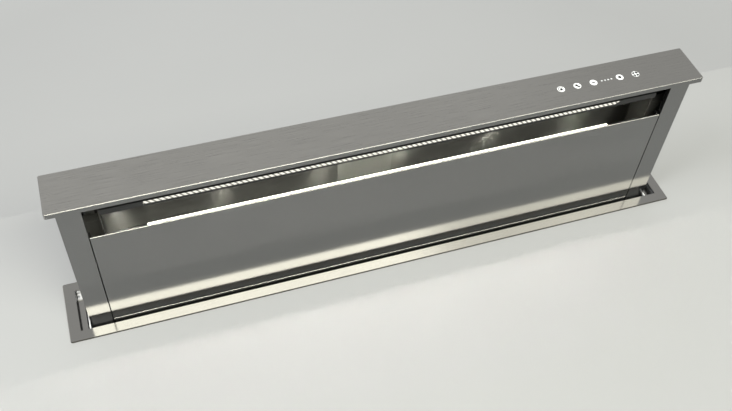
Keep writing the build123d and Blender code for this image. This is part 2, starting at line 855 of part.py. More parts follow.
with BuildPart() as casing_front:
    with BuildSketch(front_plane(-inner_y)):
        with Locations((0, wall_middle)):
            Rectangle(2 * inner_x, wall_height)
        with Locations((blower_x, blower_z)):
            Circle(inlet_radius, mode=Mode.SUBTRACT)
    extrude(amount=casing_wall)
    with BuildSketch(front_plane(-casing_y)):
        with Locations((front_rib_x, front_rib_z)):
            with GridLocations(front_rib_pitch, 0, front_rib_count, 1):
                SlotOverall(front_rib_height, rib_width, rotation=90)
    extrude(amount=rib_rise, taper=rib_slope)
    with BuildSketch(front_plane(-inner_y)):
        with Locations((front_rib_x, front_rib_z)):
            with GridLocations(front_rib_pitch, 0, front_rib_count, 1):
                SlotOverall(front_rib_height - casing_wall, rib_width - casing_wall, rotation=90)
    extrude(amount=rib_rise, taper=rib_slope, mode=Mode.SUBTRACT)

casing_front.part.label = "casing_front"
export_step(casing_front.part, "parts/casing_front.step")

rib_height = casing_height - 2 * rib_margin

with BuildPart() as casing_back:
    with BuildSketch(front_plane(casing_y)):
        with Locations((0, wall_middle)):
            Rectangle(2 * inner_x, wall_height)
    extrude(amount=casing_wall)
    with BuildSketch(front_plane(casing_y)):
        with Locations((0, -casing_height / 2)):
            with GridLocations(rib_pitch, 0, rib_count, 1):
                SlotOverall(rib_height, rib_width, rotation=90)
    extrude(amount=-rib_rise, taper=rib_slope)
    with BuildSketch(front_plane(inner_y)):
        with Locations((0, -casing_height / 2)):
            with GridLocations(rib_pitch, 0, rib_count, 1):
                SlotOverall(rib_height - casing_wall, rib_width - casing_wall, rotation=90)
    extrude(amount=-rib_rise, taper=rib_slope, mode=Mode.SUBTRACT)

casing_back.part.label = "casing_back"
export_step(casing_back.part, "parts/casing_back.step")

fold_bottom = floor_lip + glide_gap - casing_height

for side, side_name in ((-1, "left"), (1, "right")):
    with BuildPart() as casing_end:
        with BuildSketch(side_plane(side * inner_x)):
            with Locations((0, wall_middle)):
                Rectangle(2 * casing_y, wall_height)
        extrude(amount=side * casing_wall)
        with BuildSketch(Plane.XY.offset(fold_bottom)):
            for depth in (-1, 1):
                with Locations((side * (inner_x - casing_fold / 2), depth * (inner_y - casing_wall / 2))):
                    Rectangle(casing_fold, casing_wall)
        extrude(amount=flange_rebate - fold_bottom)
    casing_end.part.label = f"casing_end_{side_name}"
    export_step(casing_end.part, f"parts/casing_end_{side_name}.step")

with BuildPart() as casing_floor:
    with BuildSketch(Plane.XY.offset(-casing_height)):
        Rectangle(2 * inner_x, 2 * inner_y)
    extrude(amount=floor_lip)
    with BuildSketch(Plane.XY.offset(casing_wall - casing_height)):
        Rectangle(2 * (inner_x - casing_wall), 2 * (inner_y - casing_wall))
    extrude(amount=floor_lip - casing_wall, mode=Mode.SUBTRACT)

casing_floor.part.label = "casing_floor"
export_step(casing_floor.part, "parts/casing_floor.step")

# ------------------------------------------------------------------ lower stops
stop_gap = 0.5
buffer_radius = 8.0
buffer_height = 22.0
stop_x = tower_x - column_width / 2
stop_top = -tower_below - travel - stop_gap
stop_plate = stop_top - buffer_height
stop_depth = 30.0
buffer_taper = 4.0

with BuildPart() as stop_brackets:
    for side in (-1, 1):
        with BuildSketch(Plane.XY.offset(stop_plate - sheet)):
            with Locations((side * (stop_x - buffer_radius + inner_x) / 2, 0)):
                Rectangle(inner_x - stop_x + buffer_radius, stop_depth)
        extrude(amount=sheet)
        with BuildSketch(side_plane(side * inner_x)):
            with Locations((0, stop_plate - stop_depth / 2)):
                Rectangle(stop_depth, stop_depth)
        extrude(amount=-side * sheet)

stop_brackets.part.label = "stop_brackets"
export_step(stop_brackets.part, "parts/stop_brackets.step")

with BuildPart() as stop_buffers:
    for side in (-1, 1):
        with BuildSketch(Plane.XY.offset(stop_plate)):
            with Locations((side * stop_x, 0)):
                Circle(buffer_radius)
        extrude(amount=buffer_height, taper=buffer_taper)

stop_buffers.part.label = "stop_buffers"
export_step(stop_buffers.part, "parts/stop_buffers.step")

# ------------------------------------------------------------------ limit switches
upper_contact = striker_z + striker_height + switch_gap
lower_contact = striker_z - travel - switch_gap

with BuildPart() as limit_switches:
    for contact, way in ((upper_contact, 1), (lower_contact, -1)):
        with BuildSketch(Plane.XY.offset(contact + way * plunger_height)):
            with Locations((switch_x, inner_y - switch_depth / 2)):
                Rectangle(switch_width, switch_depth)
        extrude(amount=way * switch_height)
        with BuildSketch(Plane.XY.offset(contact)):
            with Locations((switch_x, inner_y - switch_depth / 2)):
                Circle(plunger_radius)
        extrude(amount=way * plunger_height)

limit_switches.part.label = "limit_switches"
export_step(limit_switches.part, "parts/limit_switches.step")

# ------------------------------------------------------------------ blower scroll
plate_front = -casing_y - scroll_wall
collar_room = 5.0
scroll_depth = 2 * collar_radius + collar_room
scroll_front = plate_front - scroll_depth
half_step = scroll_step / 2
first_turn = impeller_radius + scroll_gap
scroll_top = half_step + first_turn + 2 * scroll_step
outlet_low = scroll_top - scroll_depth
outlet_straight = 18.0
mouth_x = blower_x + scroll_reach
outlet_middle = blower_z + (scroll_top + outlet_low) / 2
motor_hole_gap = 1.0


def turn_points(centre, radius, start):
    """Start, middle and end of a quarter turn, clockwise seen from the front."""
    angles = [math.radians(start - 45 * n) for n in range(3)]
    return [(centre[0] + radius * math.cos(a), centre[1] + radius * math.sin(a)) for a in angles]


def scroll_face(inset):
    """The blower's spiral, three tangent quarter turns and an outlet to +X, drawn in by inset."""
    top = (blower_x + half_step, blower_z + half_step)
    left = (blower_x - half_step, blower_z + half_step)
    bottom = (blower_x - half_step, blower_z - half_step)
    outer = turn_points(top, first_turn + 2 * scroll_step, 180)
    middle = turn_points(left, first_turn + scroll_step, 270)
    inner = turn_points(bottom, first_turn, 360)
    with BuildSketch() as spiral:
        with BuildLine():
            ThreePointArc(*outer)
            ThreePointArc(*middle)
            ThreePointArc(*inner)
            Polyline(
                inner[0],
                (inner[0][0], blower_z + tongue_rise),
                (mouth_x - outlet_straight, blower_z + outlet_low),
                (mouth_x, blower_z + outlet_low),
                (mouth_x, blower_z + scroll_top),
                outer[2],
            )
        make_face()
        if inset > 0:
            offset(amount=-inset, mode=Mode.REPLACE)
    return spiral.sketch


with BuildPart() as scroll_housing:
    with BuildSketch(front_plane(plate_front)):
        add(scroll_face(0))
    extrude(amount=scroll_depth)
    with BuildSketch(front_plane(plate_front)):
        add(scroll_face(scroll_wall))
    extrude(amount=scroll_depth - scroll_wall, mode=Mode.SUBTRACT)
    with BuildSketch(side_plane(mouth_x - scroll_wall)):
        with Locations((plate_front - (scroll_depth - scroll_wall) / 2, outlet_middle)):
            Rectangle(scroll_depth - scroll_wall, scroll_top - outlet_low - 2 * scroll_wall)
    extrude(amount=scroll_wall, mode=Mode.SUBTRACT)
    with BuildSketch(front_plane(scroll_front + scroll_wall)):
        with Locations((blower_x, blower_z)):
            Circle(fan_motor_radius + motor_hole_gap)
    extrude(amount=scroll_wall, mode=Mode.SUBTRACT)

scroll_housing.part.label = "scroll_housing"
export_step(scroll_housing.part, "parts/scroll_housing.step")

# ------------------------------------------------------------------ inlet plate with its bell mouth
bell_radius = 12.0
fan_axis = Axis((blower_x, 0, blower_z), (0, 1, 0))
fan_plane = Plane((blower_x, 0, blower_z), x_dir=(1, 0, 0), z_dir=(0, 0, 1))

with BuildPart() as inlet_plate:
    with BuildSketch(front_plane(-casing_y)):
        add(scroll_face(0))
        with Locations((blower_x, blower_z)):
            Circle(eye_radius + bell_radius, mode=Mode.SUBTRACT)
    extrude(amount=scroll_wall)
    with BuildSketch(fan_plane):
        with Locations((eye_radius + bell_radius, plate_front - bell_radius + scroll_wall)):
            Circle(bell_radius)
            Circle(bell_radius - scroll_wall, mode=Mode.SUBTRACT)
            with Locations((0, -bell_radius)):
                Rectangle(4 * bell_radius, 2 * bell_radius, mode=Mode.SUBTRACT)
            with Locations((bell_radius, 0)):
                Rectangle(2 * bell_radius, 4 * bell_radius, mode=Mode.SUBTRACT)
    revolve(axis=fan_axis)

inlet_plate.part.label = "inlet_plate"
export_step(inlet_plate.part, "parts/inlet_plate.step")

# ------------------------------------------------------------------ impeller
ring_y = plate_front - impeller_gap
plate_y = ring_y - impeller_width
blade_inner = impeller_radius - blade_depth
disc_thick = 2.0
blade_inset = 0.5
blade_lead = 0.10
fan_hub_radius = 14.0
fan_hub_length = 18.0


def blade_points(phase):
    """Corners of one forward-curved blade: two straight leaves, leading outwards."""
    middle = impeller_radius - blade_depth / 2
    outside = impeller_radius - blade_inset
    spine = [(blade_inner + blade_inset, phase), (middle, phase + blade_lead / 4)]
    spine.append((outside, phase + blade_lead))
    half = blade_thick / 2
    front = [(r * math.cos(a - half / r), r * math.sin(a - half / r)) for r, a in spine]
    rear = [(r * math.cos(a + half / r), r * math.sin(a + half / r)) for r, a in reversed(spine)]
    return [(blower_x + x, blower_z + z) for x, z in front + rear]


with BuildPart() as impeller:
    with BuildSketch(front_plane(ring_y)):
        with Locations((blower_x, blower_z)):
            Circle(impeller_radius)
            Circle(blade_inner, mode=Mode.SUBTRACT)
    extrude(amount=disc_thick)
    with BuildSketch(front_plane(plate_y + disc_thick)):
        with Locations((blower_x, blower_z)):
            Circle(impeller_radius)
    extrude(amount=disc_thick)
    with BuildSketch(front_plane(plate_y + disc_thick + fan_hub_length)):
        with Locations((blower_x, blower_z)):
            Circle(fan_hub_radius)
    extrude(amount=fan_hub_length)
    with BuildSketch(front_plane(ring_y - disc_thick)):
        for blade in range(blade_count):
            with BuildLine():
                Polyline(*blade_points(2 * math.pi * blade / blade_count), close=True)
            make_face()
    extrude(amount=impeller_width - 2 * disc_thick)
    with BuildSketch(front_plane(plate_y + disc_thick + fan_hub_length)):
        with Locations((blower_x, blower_z)):
            Circle(fan_shaft_radius)
    extrude(amount=fan_hub_length + disc_thick, mode=Mode.SUBTRACT)

impeller.part.label = "impeller"
export_step(impeller.part, "parts/impeller.step")

# ------------------------------------------------------------------ fan motor and its shaft
motor_gap = 6.0
isolator_height = 4.0
isolator_radius = 5.0
isolator_inset = 10.0
isolator_count = 3
flange_plate = 2.0
flange_reach = 16.0
motor_proud = 10.0
motor_bevel = 4.0
shaft_grip = 22.0
shaft_room = 2.0
vent_count = 8
vent_circle = 27.0
vent_length = 16.0
vent_width = 4.0
vent_depth = 6.0
motor_face = plate_y - motor_gap
motor_back = scroll_front - isolator_height - flange_plate
motor_end = motor_back - motor_proud
motor_flange = fan_motor_radius + flange_reach
isolator_circle = fan_motor_radius + isolator_inset

with BuildPart() as fan_shaft:
    with BuildSketch(front_plane(plate_y + disc_thick + fan_hub_length)):
        with Locations((blower_x, blower_z)):
            Circle(fan_shaft_radius)
    extrude(amount=fan_hub_length + disc_thick + motor_gap + shaft_grip)

fan_shaft.part.label = "fan_shaft"
export_step(fan_shaft.part, "parts/fan_shaft.step")

with BuildPart() as fan_motor:
    with BuildSketch(front_plane(motor_face)):
        with Locations((blower_x, blower_z)):
            Circle(fan_motor_radius)
    extrude(amount=motor_face - motor_end)
    chamfer(fan_motor.faces().sort_by(Axis.Y)[0].edges(), motor_bevel)
    with BuildSketch(front_plane(scroll_front - isolator_height)):
        with Locations((blower_x, blower_z)):
            Circle(motor_flange)
    extrude(amount=flange_plate)
    with BuildSketch(front_plane(motor_face)):
        with Locations((blower_x, blower_z)):
            Circle(fan_shaft_radius + running_fit)
    extrude(amount=shaft_grip + shaft_room, mode=Mode.SUBTRACT)
    with BuildSketch(front_plane(motor_end)):
        with Locations((blower_x, blower_z)):
            with PolarLocations(vent_circle, vent_count):
                SlotOverall(vent_length, vent_width)
    extrude(amount=-vent_depth, mode=Mode.SUBTRACT)

fan_motor.part.label = "fan_motor"
export_step(fan_motor.part, "parts/fan_motor.step")

with BuildPart() as motor_isolators:
    with BuildSketch(front_plane(scroll_front)):
        with Locations((blower_x, blower_z)):
            with PolarLocations(isolator_circle, isolator_count, start_angle=90):
                Circle(isolator_radius)
    extrude(amount=isolator_height)

motor_isolators.part.label = "motor_isolators"
export_step(motor_isolators.part, "parts/motor_isolators.step")

# ------------------------------------------------------------------ duct collar and its two flaps
duct_y = plate_front - scroll_depth / 2
duct_z = outlet_middle
mouth_height = scroll_top - outlet_low
skirt_length = 10.0
collar_start = mouth_x + scroll_wall
collar_bore = collar_radius - collar_wall
pin_inset = 9.0
pin_x = collar_start + pin_inset
flap_radius = collar_bore - flap_gap
stop_width = 3.0
stop_length = 24.0
stop_gap_x = 0.25
stop_x_low = pin_x - flap_thick / 2 - stop_gap_x - stop_width

with BuildPart() as duct_collar:
    with BuildSketch(side_plane(mouth_x)):
        with Locations((duct_y, duct_z)):
            Rectangle(scroll_depth, mouth_height + 2 * scroll_wall)
            Circle(collar_bore, mode=Mode.SUBTRACT)
    extrude(amount=scroll_wall)
    with BuildSketch(side_plane(mouth_x)):
        for way in (-1, 1):
            with Locations((duct_y, duct_z + way * (mouth_height + scroll_wall) / 2)):
                Rectangle(scroll_depth, scroll_wall)
    extrude(amount=-skirt_length)
    with BuildSketch(side_plane(collar_start)):
        with Locations((duct_y, duct_z)):
            Circle(collar_radius)
            Circle(collar_bore, mode=Mode.SUBTRACT)
    extrude(amount=collar_length)
    with BuildSketch(side_plane(stop_x_low)):
        with Locations((duct_y, duct_z)):
            Circle(collar_bore)
            Circle(flap_radius - stop_width, mode=Mode.SUBTRACT)
            for way in (-1, 1):
                with Locations((0, way * collar_bore)):
                    Rectangle(2 * collar_bore, 2 * collar_bore - stop_length, mode=Mode.SUBTRACT)
    extrude(amount=stop_width)

duct_collar.part.label = "duct_collar"
export_step(duct_collar.part, "parts/duct_collar.step")

pin_half = collar_bore - running_fit

with BuildPart() as flap_pin:
    with BuildSketch(Plane.XY.offset(duct_z - pin_half)):
        with Locations((pin_x, duct_y)):
            Circle(flap_pin_radius)
    extrude(amount=2 * pin_half)

flap_pin.part.label = "flap_pin"
export_step(flap_pin.part, "parts/flap_pin.step")

knuckle_bore = flap_pin_radius + running_fit
knuckle_radius = knuckle_bore + knuckle_wall
knuckle_gap = 0.4
knuckle_lap = 0.2
knuckle_clear = knuckle_radius + knuckle_gap
knuckle_count = 4
knuckle_pitch = 2 * (flap_radius - knuckle_radius) / knuckle_count
knuckle_foot = duct_z - flap_radius + knuckle_radius

for order, (side, flap_name) in enumerate(((1, "rear"), (-1, "front"))):
    own_feet = [knuckle_foot + knuckle_gap / 2 + knuckle_pitch * n for n in range(order, knuckle_count, 2)]
    own_length = knuckle_pitch - knuckle_gap
    with BuildPart() as damper_flap:
        with BuildSketch(side_plane(pin_x - flap_thick / 2)):
            with Locations((duct_y, duct_z)):
                Circle(flap_radius)
                with Locations((side * (knuckle_clear - flap_radius), 0)):
                    Rectangle(2 * flap_radius, 2 * flap_radius, mode=Mode.SUBTRACT)
            for foot in own_feet:
                with Locations((duct_y + side * knuckle_clear / 2, foot + own_length / 2)):
                    Rectangle(knuckle_clear + knuckle_lap, own_length)
        extrude(amount=flap_thick)
        for foot in own_feet:
            with BuildSketch(Plane.XY.offset(foot)):
                with Locations((pin_x, duct_y)):
                    Circle(knuckle_radius)
            extrude(amount=own_length)
        with BuildSketch(Plane.XY.offset(duct_z - flap_radius)):
            with Locations((pin_x, duct_y)):
                Circle(knuckle_bore)
        extrude(amount=2 * flap_radius, mode=Mode.SUBTRACT)
    damper_flap.part.label = f"damper_flap_{flap_name}"
    export_step(damper_flap.part, f"parts/damper_flap_{flap_name}.step")

# ------------------------------------------------------------------ electronics box
box_x = box_inset + box_width / 2 - casing_x
box_z = -box_drop - box_height / 2
box_corner = 6.0
post_spread_x = 96.0
post_spread_z = 80.0
board_rim = 10.0
lid_round = 1.5
relay_width = 36.0
relay_depth = 30.0
relay_rise = 18.0
relay_x = box_x + 25.0
relay_z = box_z + 20.0
capacitor_radius = 7.0
capacitor_pitch = 20.0
capacitor_x = box_x - 20.0
capacitor_z = box_z + 25.0
terminal_count = 3
terminal_pitch = 22.0
terminal_width = 16.0
terminal_depth = 12.0
terminal_x = box_x + 10.0
terminal_z = box_z - 25.0
lid_thick = 2.5
lid_lip = 3.0
lid_fit = 0.2
post_height = 8.0
gland_inset = 30.0
gland_nut = 4.0
gland_taper = 15.0
gland_x = box_x - box_width / 2 + gland_inset
gland_y = -casing_y - box_depth / 2
box_bottom = box_z - box_height / 2
gland_head = 12.0
gland_dome = 7.0
gland_thread = 6.0

with BuildPart() as electronics_box:
    with BuildSketch(front_plane(-casing_y)):
        with Locations((box_x, box_z)):
            RectangleRounded(box_width, box_height, box_corner)
    extrude(amount=box_depth)
    with BuildSketch(front_plane(-casing_y - box_wall)):
        with Locations((box_x, box_z)):
            RectangleRounded(box_width - 2 * box_wall, box_height - 2 * box_wall, box_corner - box_wall)
    extrude(amount=box_depth - box_wall, mode=Mode.SUBTRACT)
    with BuildSketch(front_plane(-casing_y - box_wall)):
        with Locations((box_x, box_z)):
            with GridLocations(post_spread_x, post_spread_z, 2, 2):
                Circle(post_radius)
    extrude(amount=post_height)
    with BuildSketch(Plane.XY.offset(box_bottom)):
        with Locations((gland_x, gland_y)):
            Circle(gland_thread)
    extrude(amount=box_wall, mode=Mode.SUBTRACT)

electronics_box.part.label = "electronics_box"
export_step(electronics_box.part, "parts/electronics_box.step")

with BuildPart() as control_board:
    with BuildSketch(front_plane(-casing_y - box_wall - post_height)):
        with Locations((box_x + box_wall, box_z)):
            Rectangle(post_spread_x + 2 * board_rim, post_spread_z + 2 * board_rim)
    extrude(amount=board_thick)
    with BuildSketch(front_plane(-casing_y - box_wall - post_height - board_thick)):
        with Locations((relay_x, relay_z)):
            Rectangle(relay_width, relay_depth)
        with Locations((capacitor_x, capacitor_z)):
            with GridLocations(capacitor_pitch, 0, 2, 1):
                Circle(capacitor_radius)
        with Locations((terminal_x, terminal_z)):
            with GridLocations(terminal_pitch, 0, terminal_count, 1):
                Rectangle(terminal_width, terminal_depth)
    extrude(amount=relay_rise)

control_board.part.label = "control_board"
export_step(control_board.part, "parts/control_board.step")

with BuildPart() as electronics_lid:
    with BuildSketch(front_plane(-casing_y - box_depth)):
        with Locations((box_x, box_z)):
            RectangleRounded(box_width, box_height, box_corner)
    extrude(amount=lid_thick)
    fillet(electronics_lid.faces().sort_by(Axis.Y)[0].edges(), lid_round)
    with BuildSketch(front_plane(-casing_y - box_depth)):
        with Locations((box_x, box_z)):
            inner_width = box_width - 2 * box_wall - 2 * lid_fit
            inner_height = box_height - 2 * box_wall - 2 * lid_fit
            RectangleRounded(inner_width, inner_height, box_corner - box_wall)
            Rectangle(inner_width - 2 * box_wall, inner_height - 2 * box_wall, mode=Mode.SUBTRACT)
    extrude(amount=-lid_lip)

electronics_lid.part.label = "electronics_lid"
export_step(electronics_lid.part, "parts/electronics_lid.step")

with BuildPart() as cable_gland:
    with BuildSketch(Plane.XY.offset(box_bottom)):
        with Locations((gland_x, gland_y)):
            RegularPolygon(gland_radius, 6)
    extrude(amount=-gland_head)
    with BuildSketch(Plane.XY.offset(box_bottom - gland_head)):
        with Locations((gland_x, gland_y)):
            Circle(gland_radius * 0.8)
    extrude(amount=-gland_dome, taper=gland_taper)
    with BuildSketch(Plane.XY.offset(box_bottom)):
        with Locations((gland_x, gland_y)):
            Circle(gland_thread)
    extrude(amount=box_wall)
    with BuildSketch(Plane.XY.offset(box_bottom + box_wall)):
        with Locations((gland_x, gland_y)):
            RegularPolygon(gland_radius, 6)
    extrude(amount=gland_nut)
    with BuildSketch(Plane.XY.offset(box_bottom + box_wall + gland_nut)):
        with Locations((gland_x, gland_y)):
            Circle(gland_bore)
    extrude(amount=-gland_head - gland_dome - box_wall - gland_nut, mode=Mode.SUBTRACT)

cable_gland.part.label = "cable_gland"
export_step(cable_gland.part, "parts/cable_gland.step")

# ------------------------------------------------------------------ worktop clamps
worktop_thick = 38.0
clamp_inset = 156.5
clamp_reach = 14.0
clamp_width = 24.0
clamp_block = 8.0
clamp_drop = 18.0
clamp_pad = 2.5
clamp_screw_radius = 2.5
clamp_screw_length = 42.0
clamp_disc_radius = 6.0
clamp_head_radius = 4.5
clamp_head_height = 4.0
clamp_x = casing_x - clamp_inset
clamp_y = casing_y + clamp_reach / 2

clamp_points = [(x, y) for x in (-clamp_x, clamp_x) for y in (-clamp_y, clamp_y)]
clamp_top = -worktop_thick

with BuildPart() as worktop_clamps:
    with BuildSketch(Plane.XY.offset(clamp_top - clamp_drop - clamp_block)):
        with Locations(*clamp_points):
            Rectangle(clamp_width, clamp_reach)
            Circle(clamp_screw_radius, mode=Mode.SUBTRACT)
    extrude(amount=clamp_block)

worktop_clamps.part.label = "worktop_clamps"
export_step(worktop_clamps.part, "parts/worktop_clamps.step")

with BuildPart() as clamp_screws:
    with BuildSketch(Plane.XY.offset(clamp_top - clamp_pad)):
        with Locations(*clamp_points):
            Circle(clamp_screw_radius)
    extrude(amount=-clamp_screw_length)
    with BuildSketch(Plane.XY.offset(clamp_top - clamp_pad)):
        with Locations(*clamp_points):
            Circle(clamp_disc_radius)
    extrude(amount=clamp_pad)
    with BuildSketch(Plane.XY.offset(clamp_top - clamp_pad - clamp_screw_length)):
        with Locations(*clamp_points):
            RegularPolygon(clamp_head_radius, 6)
    extrude(amount=clamp_head_height)

clamp_screws.part.label = "clamp_screws"
export_step(clamp_screws.part, "parts/clamp_screws.step")

# ------------------------------------------------------------------ feet that screw to the cabinet floor
foot_inset = 51.5
foot_width = 60.0
foot_depth = 42.0
foot_height = 80.0
foot_sheet = 2.0
foot_below = 20.0
foot_hole = 2.75
foot_hole_pitch = 36.0
foot_x = casing_x - foot_inset
foot_level = -casing_height - foot_below

with BuildPart() as floor_feet:
    for side in (-1, 1):
        with BuildSketch(front_plane(casing_y + foot_sheet)):
            with Locations((side * foot_x, foot_level + foot_height / 2)):
                Rectangle(foot_width, foot_height)
        extrude(amount=foot_sheet)
        with BuildSketch(Plane.XY.offset(foot_level)):
            with Locations((side * foot_x, casing_y + foot_depth / 2)):
                Rectangle(foot_width, foot_depth)
                with GridLocations(foot_hole_pitch, 0, 2, 1):
                    Circle(foot_hole, mode=Mode.SUBTRACT)
        extrude(amount=foot_sheet)

floor_feet.part.label = "floor_feet"
export_step(floor_feet.part, "parts/floor_feet.step")

# ------------------------------------------------------------------ screws that hold the casing and feet
head_radius = 3.0
head_height = 1.6
screw_rows = 5
screw_margin = 30.0
screw_pitch = (casing_height - 2 * screw_margin) / (screw_rows - 1)
screw_x = inner_x - casing_fold / 2

with BuildPart() as casing_screws:
    for face_y, way in ((-casing_y, 1), (casing_y, -1)):
        with BuildSketch(front_plane(face_y)):
            for side in (-1, 1):
                with Locations((side * screw_x, -casing_height / 2)):
                    with GridLocations(0, screw_pitch, 1, screw_rows):
                        RegularPolygon(head_radius, 8)
        extrude(amount=way * head_height)

    with BuildSketch(front_plane(casing_y + foot_sheet)):
        for side in (-1, 1):
            with Locations((side * foot_x, foot_sheet + foot_height / 3 - casing_height)):
                with GridLocations(foot_hole_pitch, 0, 2, 1):
                    RegularPolygon(head_radius, 8)
    extrude(amount=-head_height)
    for side in (-1, 1):
        with BuildSketch(Plane.XY.offset(ledge_top + pad_thick - pad_screw_sink)):
            with Locations((side * (inner_x - ledge_width / 2), opening_y - pad_depth / 2)):
                Circle(pad_screw_radius)
        extrude(amount=-pad_screw_length)

casing_screws.part.label = "casing_screws"
export_step(casing_screws.part, "parts/casing_screws.step")
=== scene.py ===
"""Finishes, small pieces and studio for a worktop downdraft vent, built around its packed frame.

Lengths are in metres. +X runs along the vent, -Y faces the cook, +Z is up and z 0 is the
worktop's surface.
"""

import math

import bmesh
import bpy
from mathutils import Matrix, Vector


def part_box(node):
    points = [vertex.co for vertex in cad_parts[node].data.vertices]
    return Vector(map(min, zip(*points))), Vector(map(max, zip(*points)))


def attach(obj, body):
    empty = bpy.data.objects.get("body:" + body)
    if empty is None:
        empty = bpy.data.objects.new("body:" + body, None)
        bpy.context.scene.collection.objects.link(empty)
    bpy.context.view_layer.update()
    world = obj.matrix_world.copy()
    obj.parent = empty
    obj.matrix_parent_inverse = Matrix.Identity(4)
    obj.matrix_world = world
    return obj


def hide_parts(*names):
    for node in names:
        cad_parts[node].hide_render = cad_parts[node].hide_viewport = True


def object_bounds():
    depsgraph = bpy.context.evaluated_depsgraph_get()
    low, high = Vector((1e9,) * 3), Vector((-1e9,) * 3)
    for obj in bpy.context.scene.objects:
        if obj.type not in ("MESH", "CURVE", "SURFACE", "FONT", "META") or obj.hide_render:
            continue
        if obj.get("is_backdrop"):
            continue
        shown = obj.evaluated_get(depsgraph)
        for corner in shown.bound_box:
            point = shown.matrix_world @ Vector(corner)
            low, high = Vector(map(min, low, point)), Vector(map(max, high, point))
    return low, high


bl_info = {
    "name": "Worktop Downdraft Vent",
    "version": (1, 0, 0),
    "blender": (4, 5, 0),
    "location": "3D View > Sidebar > Vent",
    "description": "Finishes, keys, fixings and studio for a lifting downdraft vent",
    "category": "Object",
}

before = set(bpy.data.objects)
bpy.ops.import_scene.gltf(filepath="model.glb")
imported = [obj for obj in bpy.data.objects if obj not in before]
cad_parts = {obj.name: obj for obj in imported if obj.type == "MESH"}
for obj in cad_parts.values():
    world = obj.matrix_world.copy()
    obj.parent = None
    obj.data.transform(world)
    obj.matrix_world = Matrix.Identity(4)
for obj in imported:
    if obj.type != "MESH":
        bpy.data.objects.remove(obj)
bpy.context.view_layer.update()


# -------- colours, nodes and meshes
def linear(hex_colour):
    """The linear red, green, blue and alpha of an sRGB hex colour."""
    parts = [int(hex_colour[place : place + 2], 16) / 255 for place in (1, 3, 5)]
    toned = [p / 12.92 if p <= 0.04045 else ((p + 0.055) / 1.055) ** 2.4 for p in parts]
    return (*toned, 1.0)


def shade(colour, factor):
    """A lighter or darker tone of a linear colour."""
    return tuple(min(1.0, part * factor) for part in colour[:3]) + (1.0,)


def add_node(tree, kind, settings=None, inputs=None):
    """Adds a node. An input given as another node's socket is linked, and any other is set."""
    node = tree.nodes.new(kind)
    for name, value in (settings or {}).items():
        setattr(node, name, value)
    for key, value in (inputs or {}).items():
        if isinstance(value, bpy.types.NodeSocket):
            tree.links.new(value, node.inputs[key])
        else:
            node.inputs[key].default_value = value
    return node


def start_material(name):
    """An empty node material and its tree."""
    material = bpy.data.materials.new(name)
    material.use_nodes = True
    material.node_tree.nodes.clear()
    return material, material.node_tree


def end_material(material, inputs):
    """Closes a material with one shader that takes these inputs."""
    tree = material.node_tree
    shader = add_node(tree, "ShaderNodeBsdfPrincipled", inputs=inputs)
    add_node(tree, "ShaderNodeOutputMaterial", inputs={"Surface": shader.outputs["BSDF"]})
    return material


def object_coords(tree, scale=(1.0, 1.0, 1.0)):
    """Object coordinates stretched by scale, so that one unit of a pattern is 1 / scale metres."""
    coords = add_node(tree, "ShaderNodeTexCoord").outputs["Object"]
    mapping = add_node(tree, "ShaderNodeMapping", inputs={"Vector": coords, "Scale": scale})
    return mapping.outputs["Vector"]


def noise(tree, scale, detail=2.0, roughness=0.5, stretch=(1.0, 1.0, 1.0)):
    """Noise from 0 to 1 with features about 1 / scale metres across."""
    coords = object_coords(tree, stretch)
    inputs = {"Vector": coords, "Scale": scale, "Detail": detail, "Roughness": roughness}
    return add_node(tree, "ShaderNodeTexNoise", inputs=inputs).outputs[0]


def spread(tree, value, low, high, start=0.3, stop=0.7):
    """A value from start to stop mapped to low to high."""
    inputs = {"Value": value, "From Min": start, "From Max": stop, "To Min": low, "To Max": high}
    return add_node(tree, "ShaderNodeMapRange", inputs=inputs).outputs["Result"]


def maths(tree, operation, *values):
    """The result of one operation on these values."""
    settings, inputs = {"operation": operation}, dict(enumerate(values))
    return add_node(tree, "ShaderNodeMath", settings, inputs).outputs[0]


def blend(tree, factor, one, other):
    """A colour between two colours."""
    mix = add_node(tree, "ShaderNodeMix", {"data_type": "RGBA"}, {0: factor, 6: one, 7: other})
    return mix.outputs[2]


def tones(tree, factor, colour, dark, light):
    """A colour between two shades of one colour, given as factors."""
    return blend(tree, factor, shade(colour, dark), shade(colour, light))


def bump(tree, height, strength, distance):
    """A bumped normal; distance is the real height of the relief in metres."""
    inputs = {"Height": height, "Strength": strength, "Distance": distance}
    return add_node(tree, "ShaderNodeBump", inputs=inputs).outputs["Normal"]


def dress(material, *nodes):
    """Gives every face of these CAD nodes one material."""
    for node in nodes:
        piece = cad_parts[node]
        piece.data.materials.clear()
        piece.data.materials.append(material)
        for face in piece.data.polygons:
            face.material_index = 0


def dress_faces(node, material, chosen):
    """Gives the faces of a CAD node that chosen(centre, normal) picks a finish of their own."""
    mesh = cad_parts[node].data
    mesh.materials.append(material)
    for face in mesh.polygons:
        if chosen(face.center, face.normal):
            face.material_index = len(mesh.materials) - 1


def new_piece(name, mesh, body, material=None):
    """Links a mesh as a piece that rides on a body and takes the finish it is given."""
    piece = bpy.data.objects.new(name, mesh)
    bpy.context.scene.collection.objects.link(piece)
    if material:
        mesh.materials.clear()
        mesh.materials.append(material)
    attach(piece, body)
    return piece


def mesh_from(name, build):
    """A mesh made by build(bm), with doubles merged and faces turned outwards."""
    bm = bmesh.new()
    build(bm)
    bmesh.ops.remove_doubles(bm, verts=bm.verts, dist=1e-6)
    bmesh.ops.recalc_face_normals(bm, faces=bm.faces)
    mesh = bpy.data.meshes.new(name)
    bm.to_mesh(mesh)
    bm.free()
    return mesh


def built_piece(name, build, body, material):
    """A piece of that name made by build(bm)."""
    return new_piece(name, mesh_from(name, build), body, material)


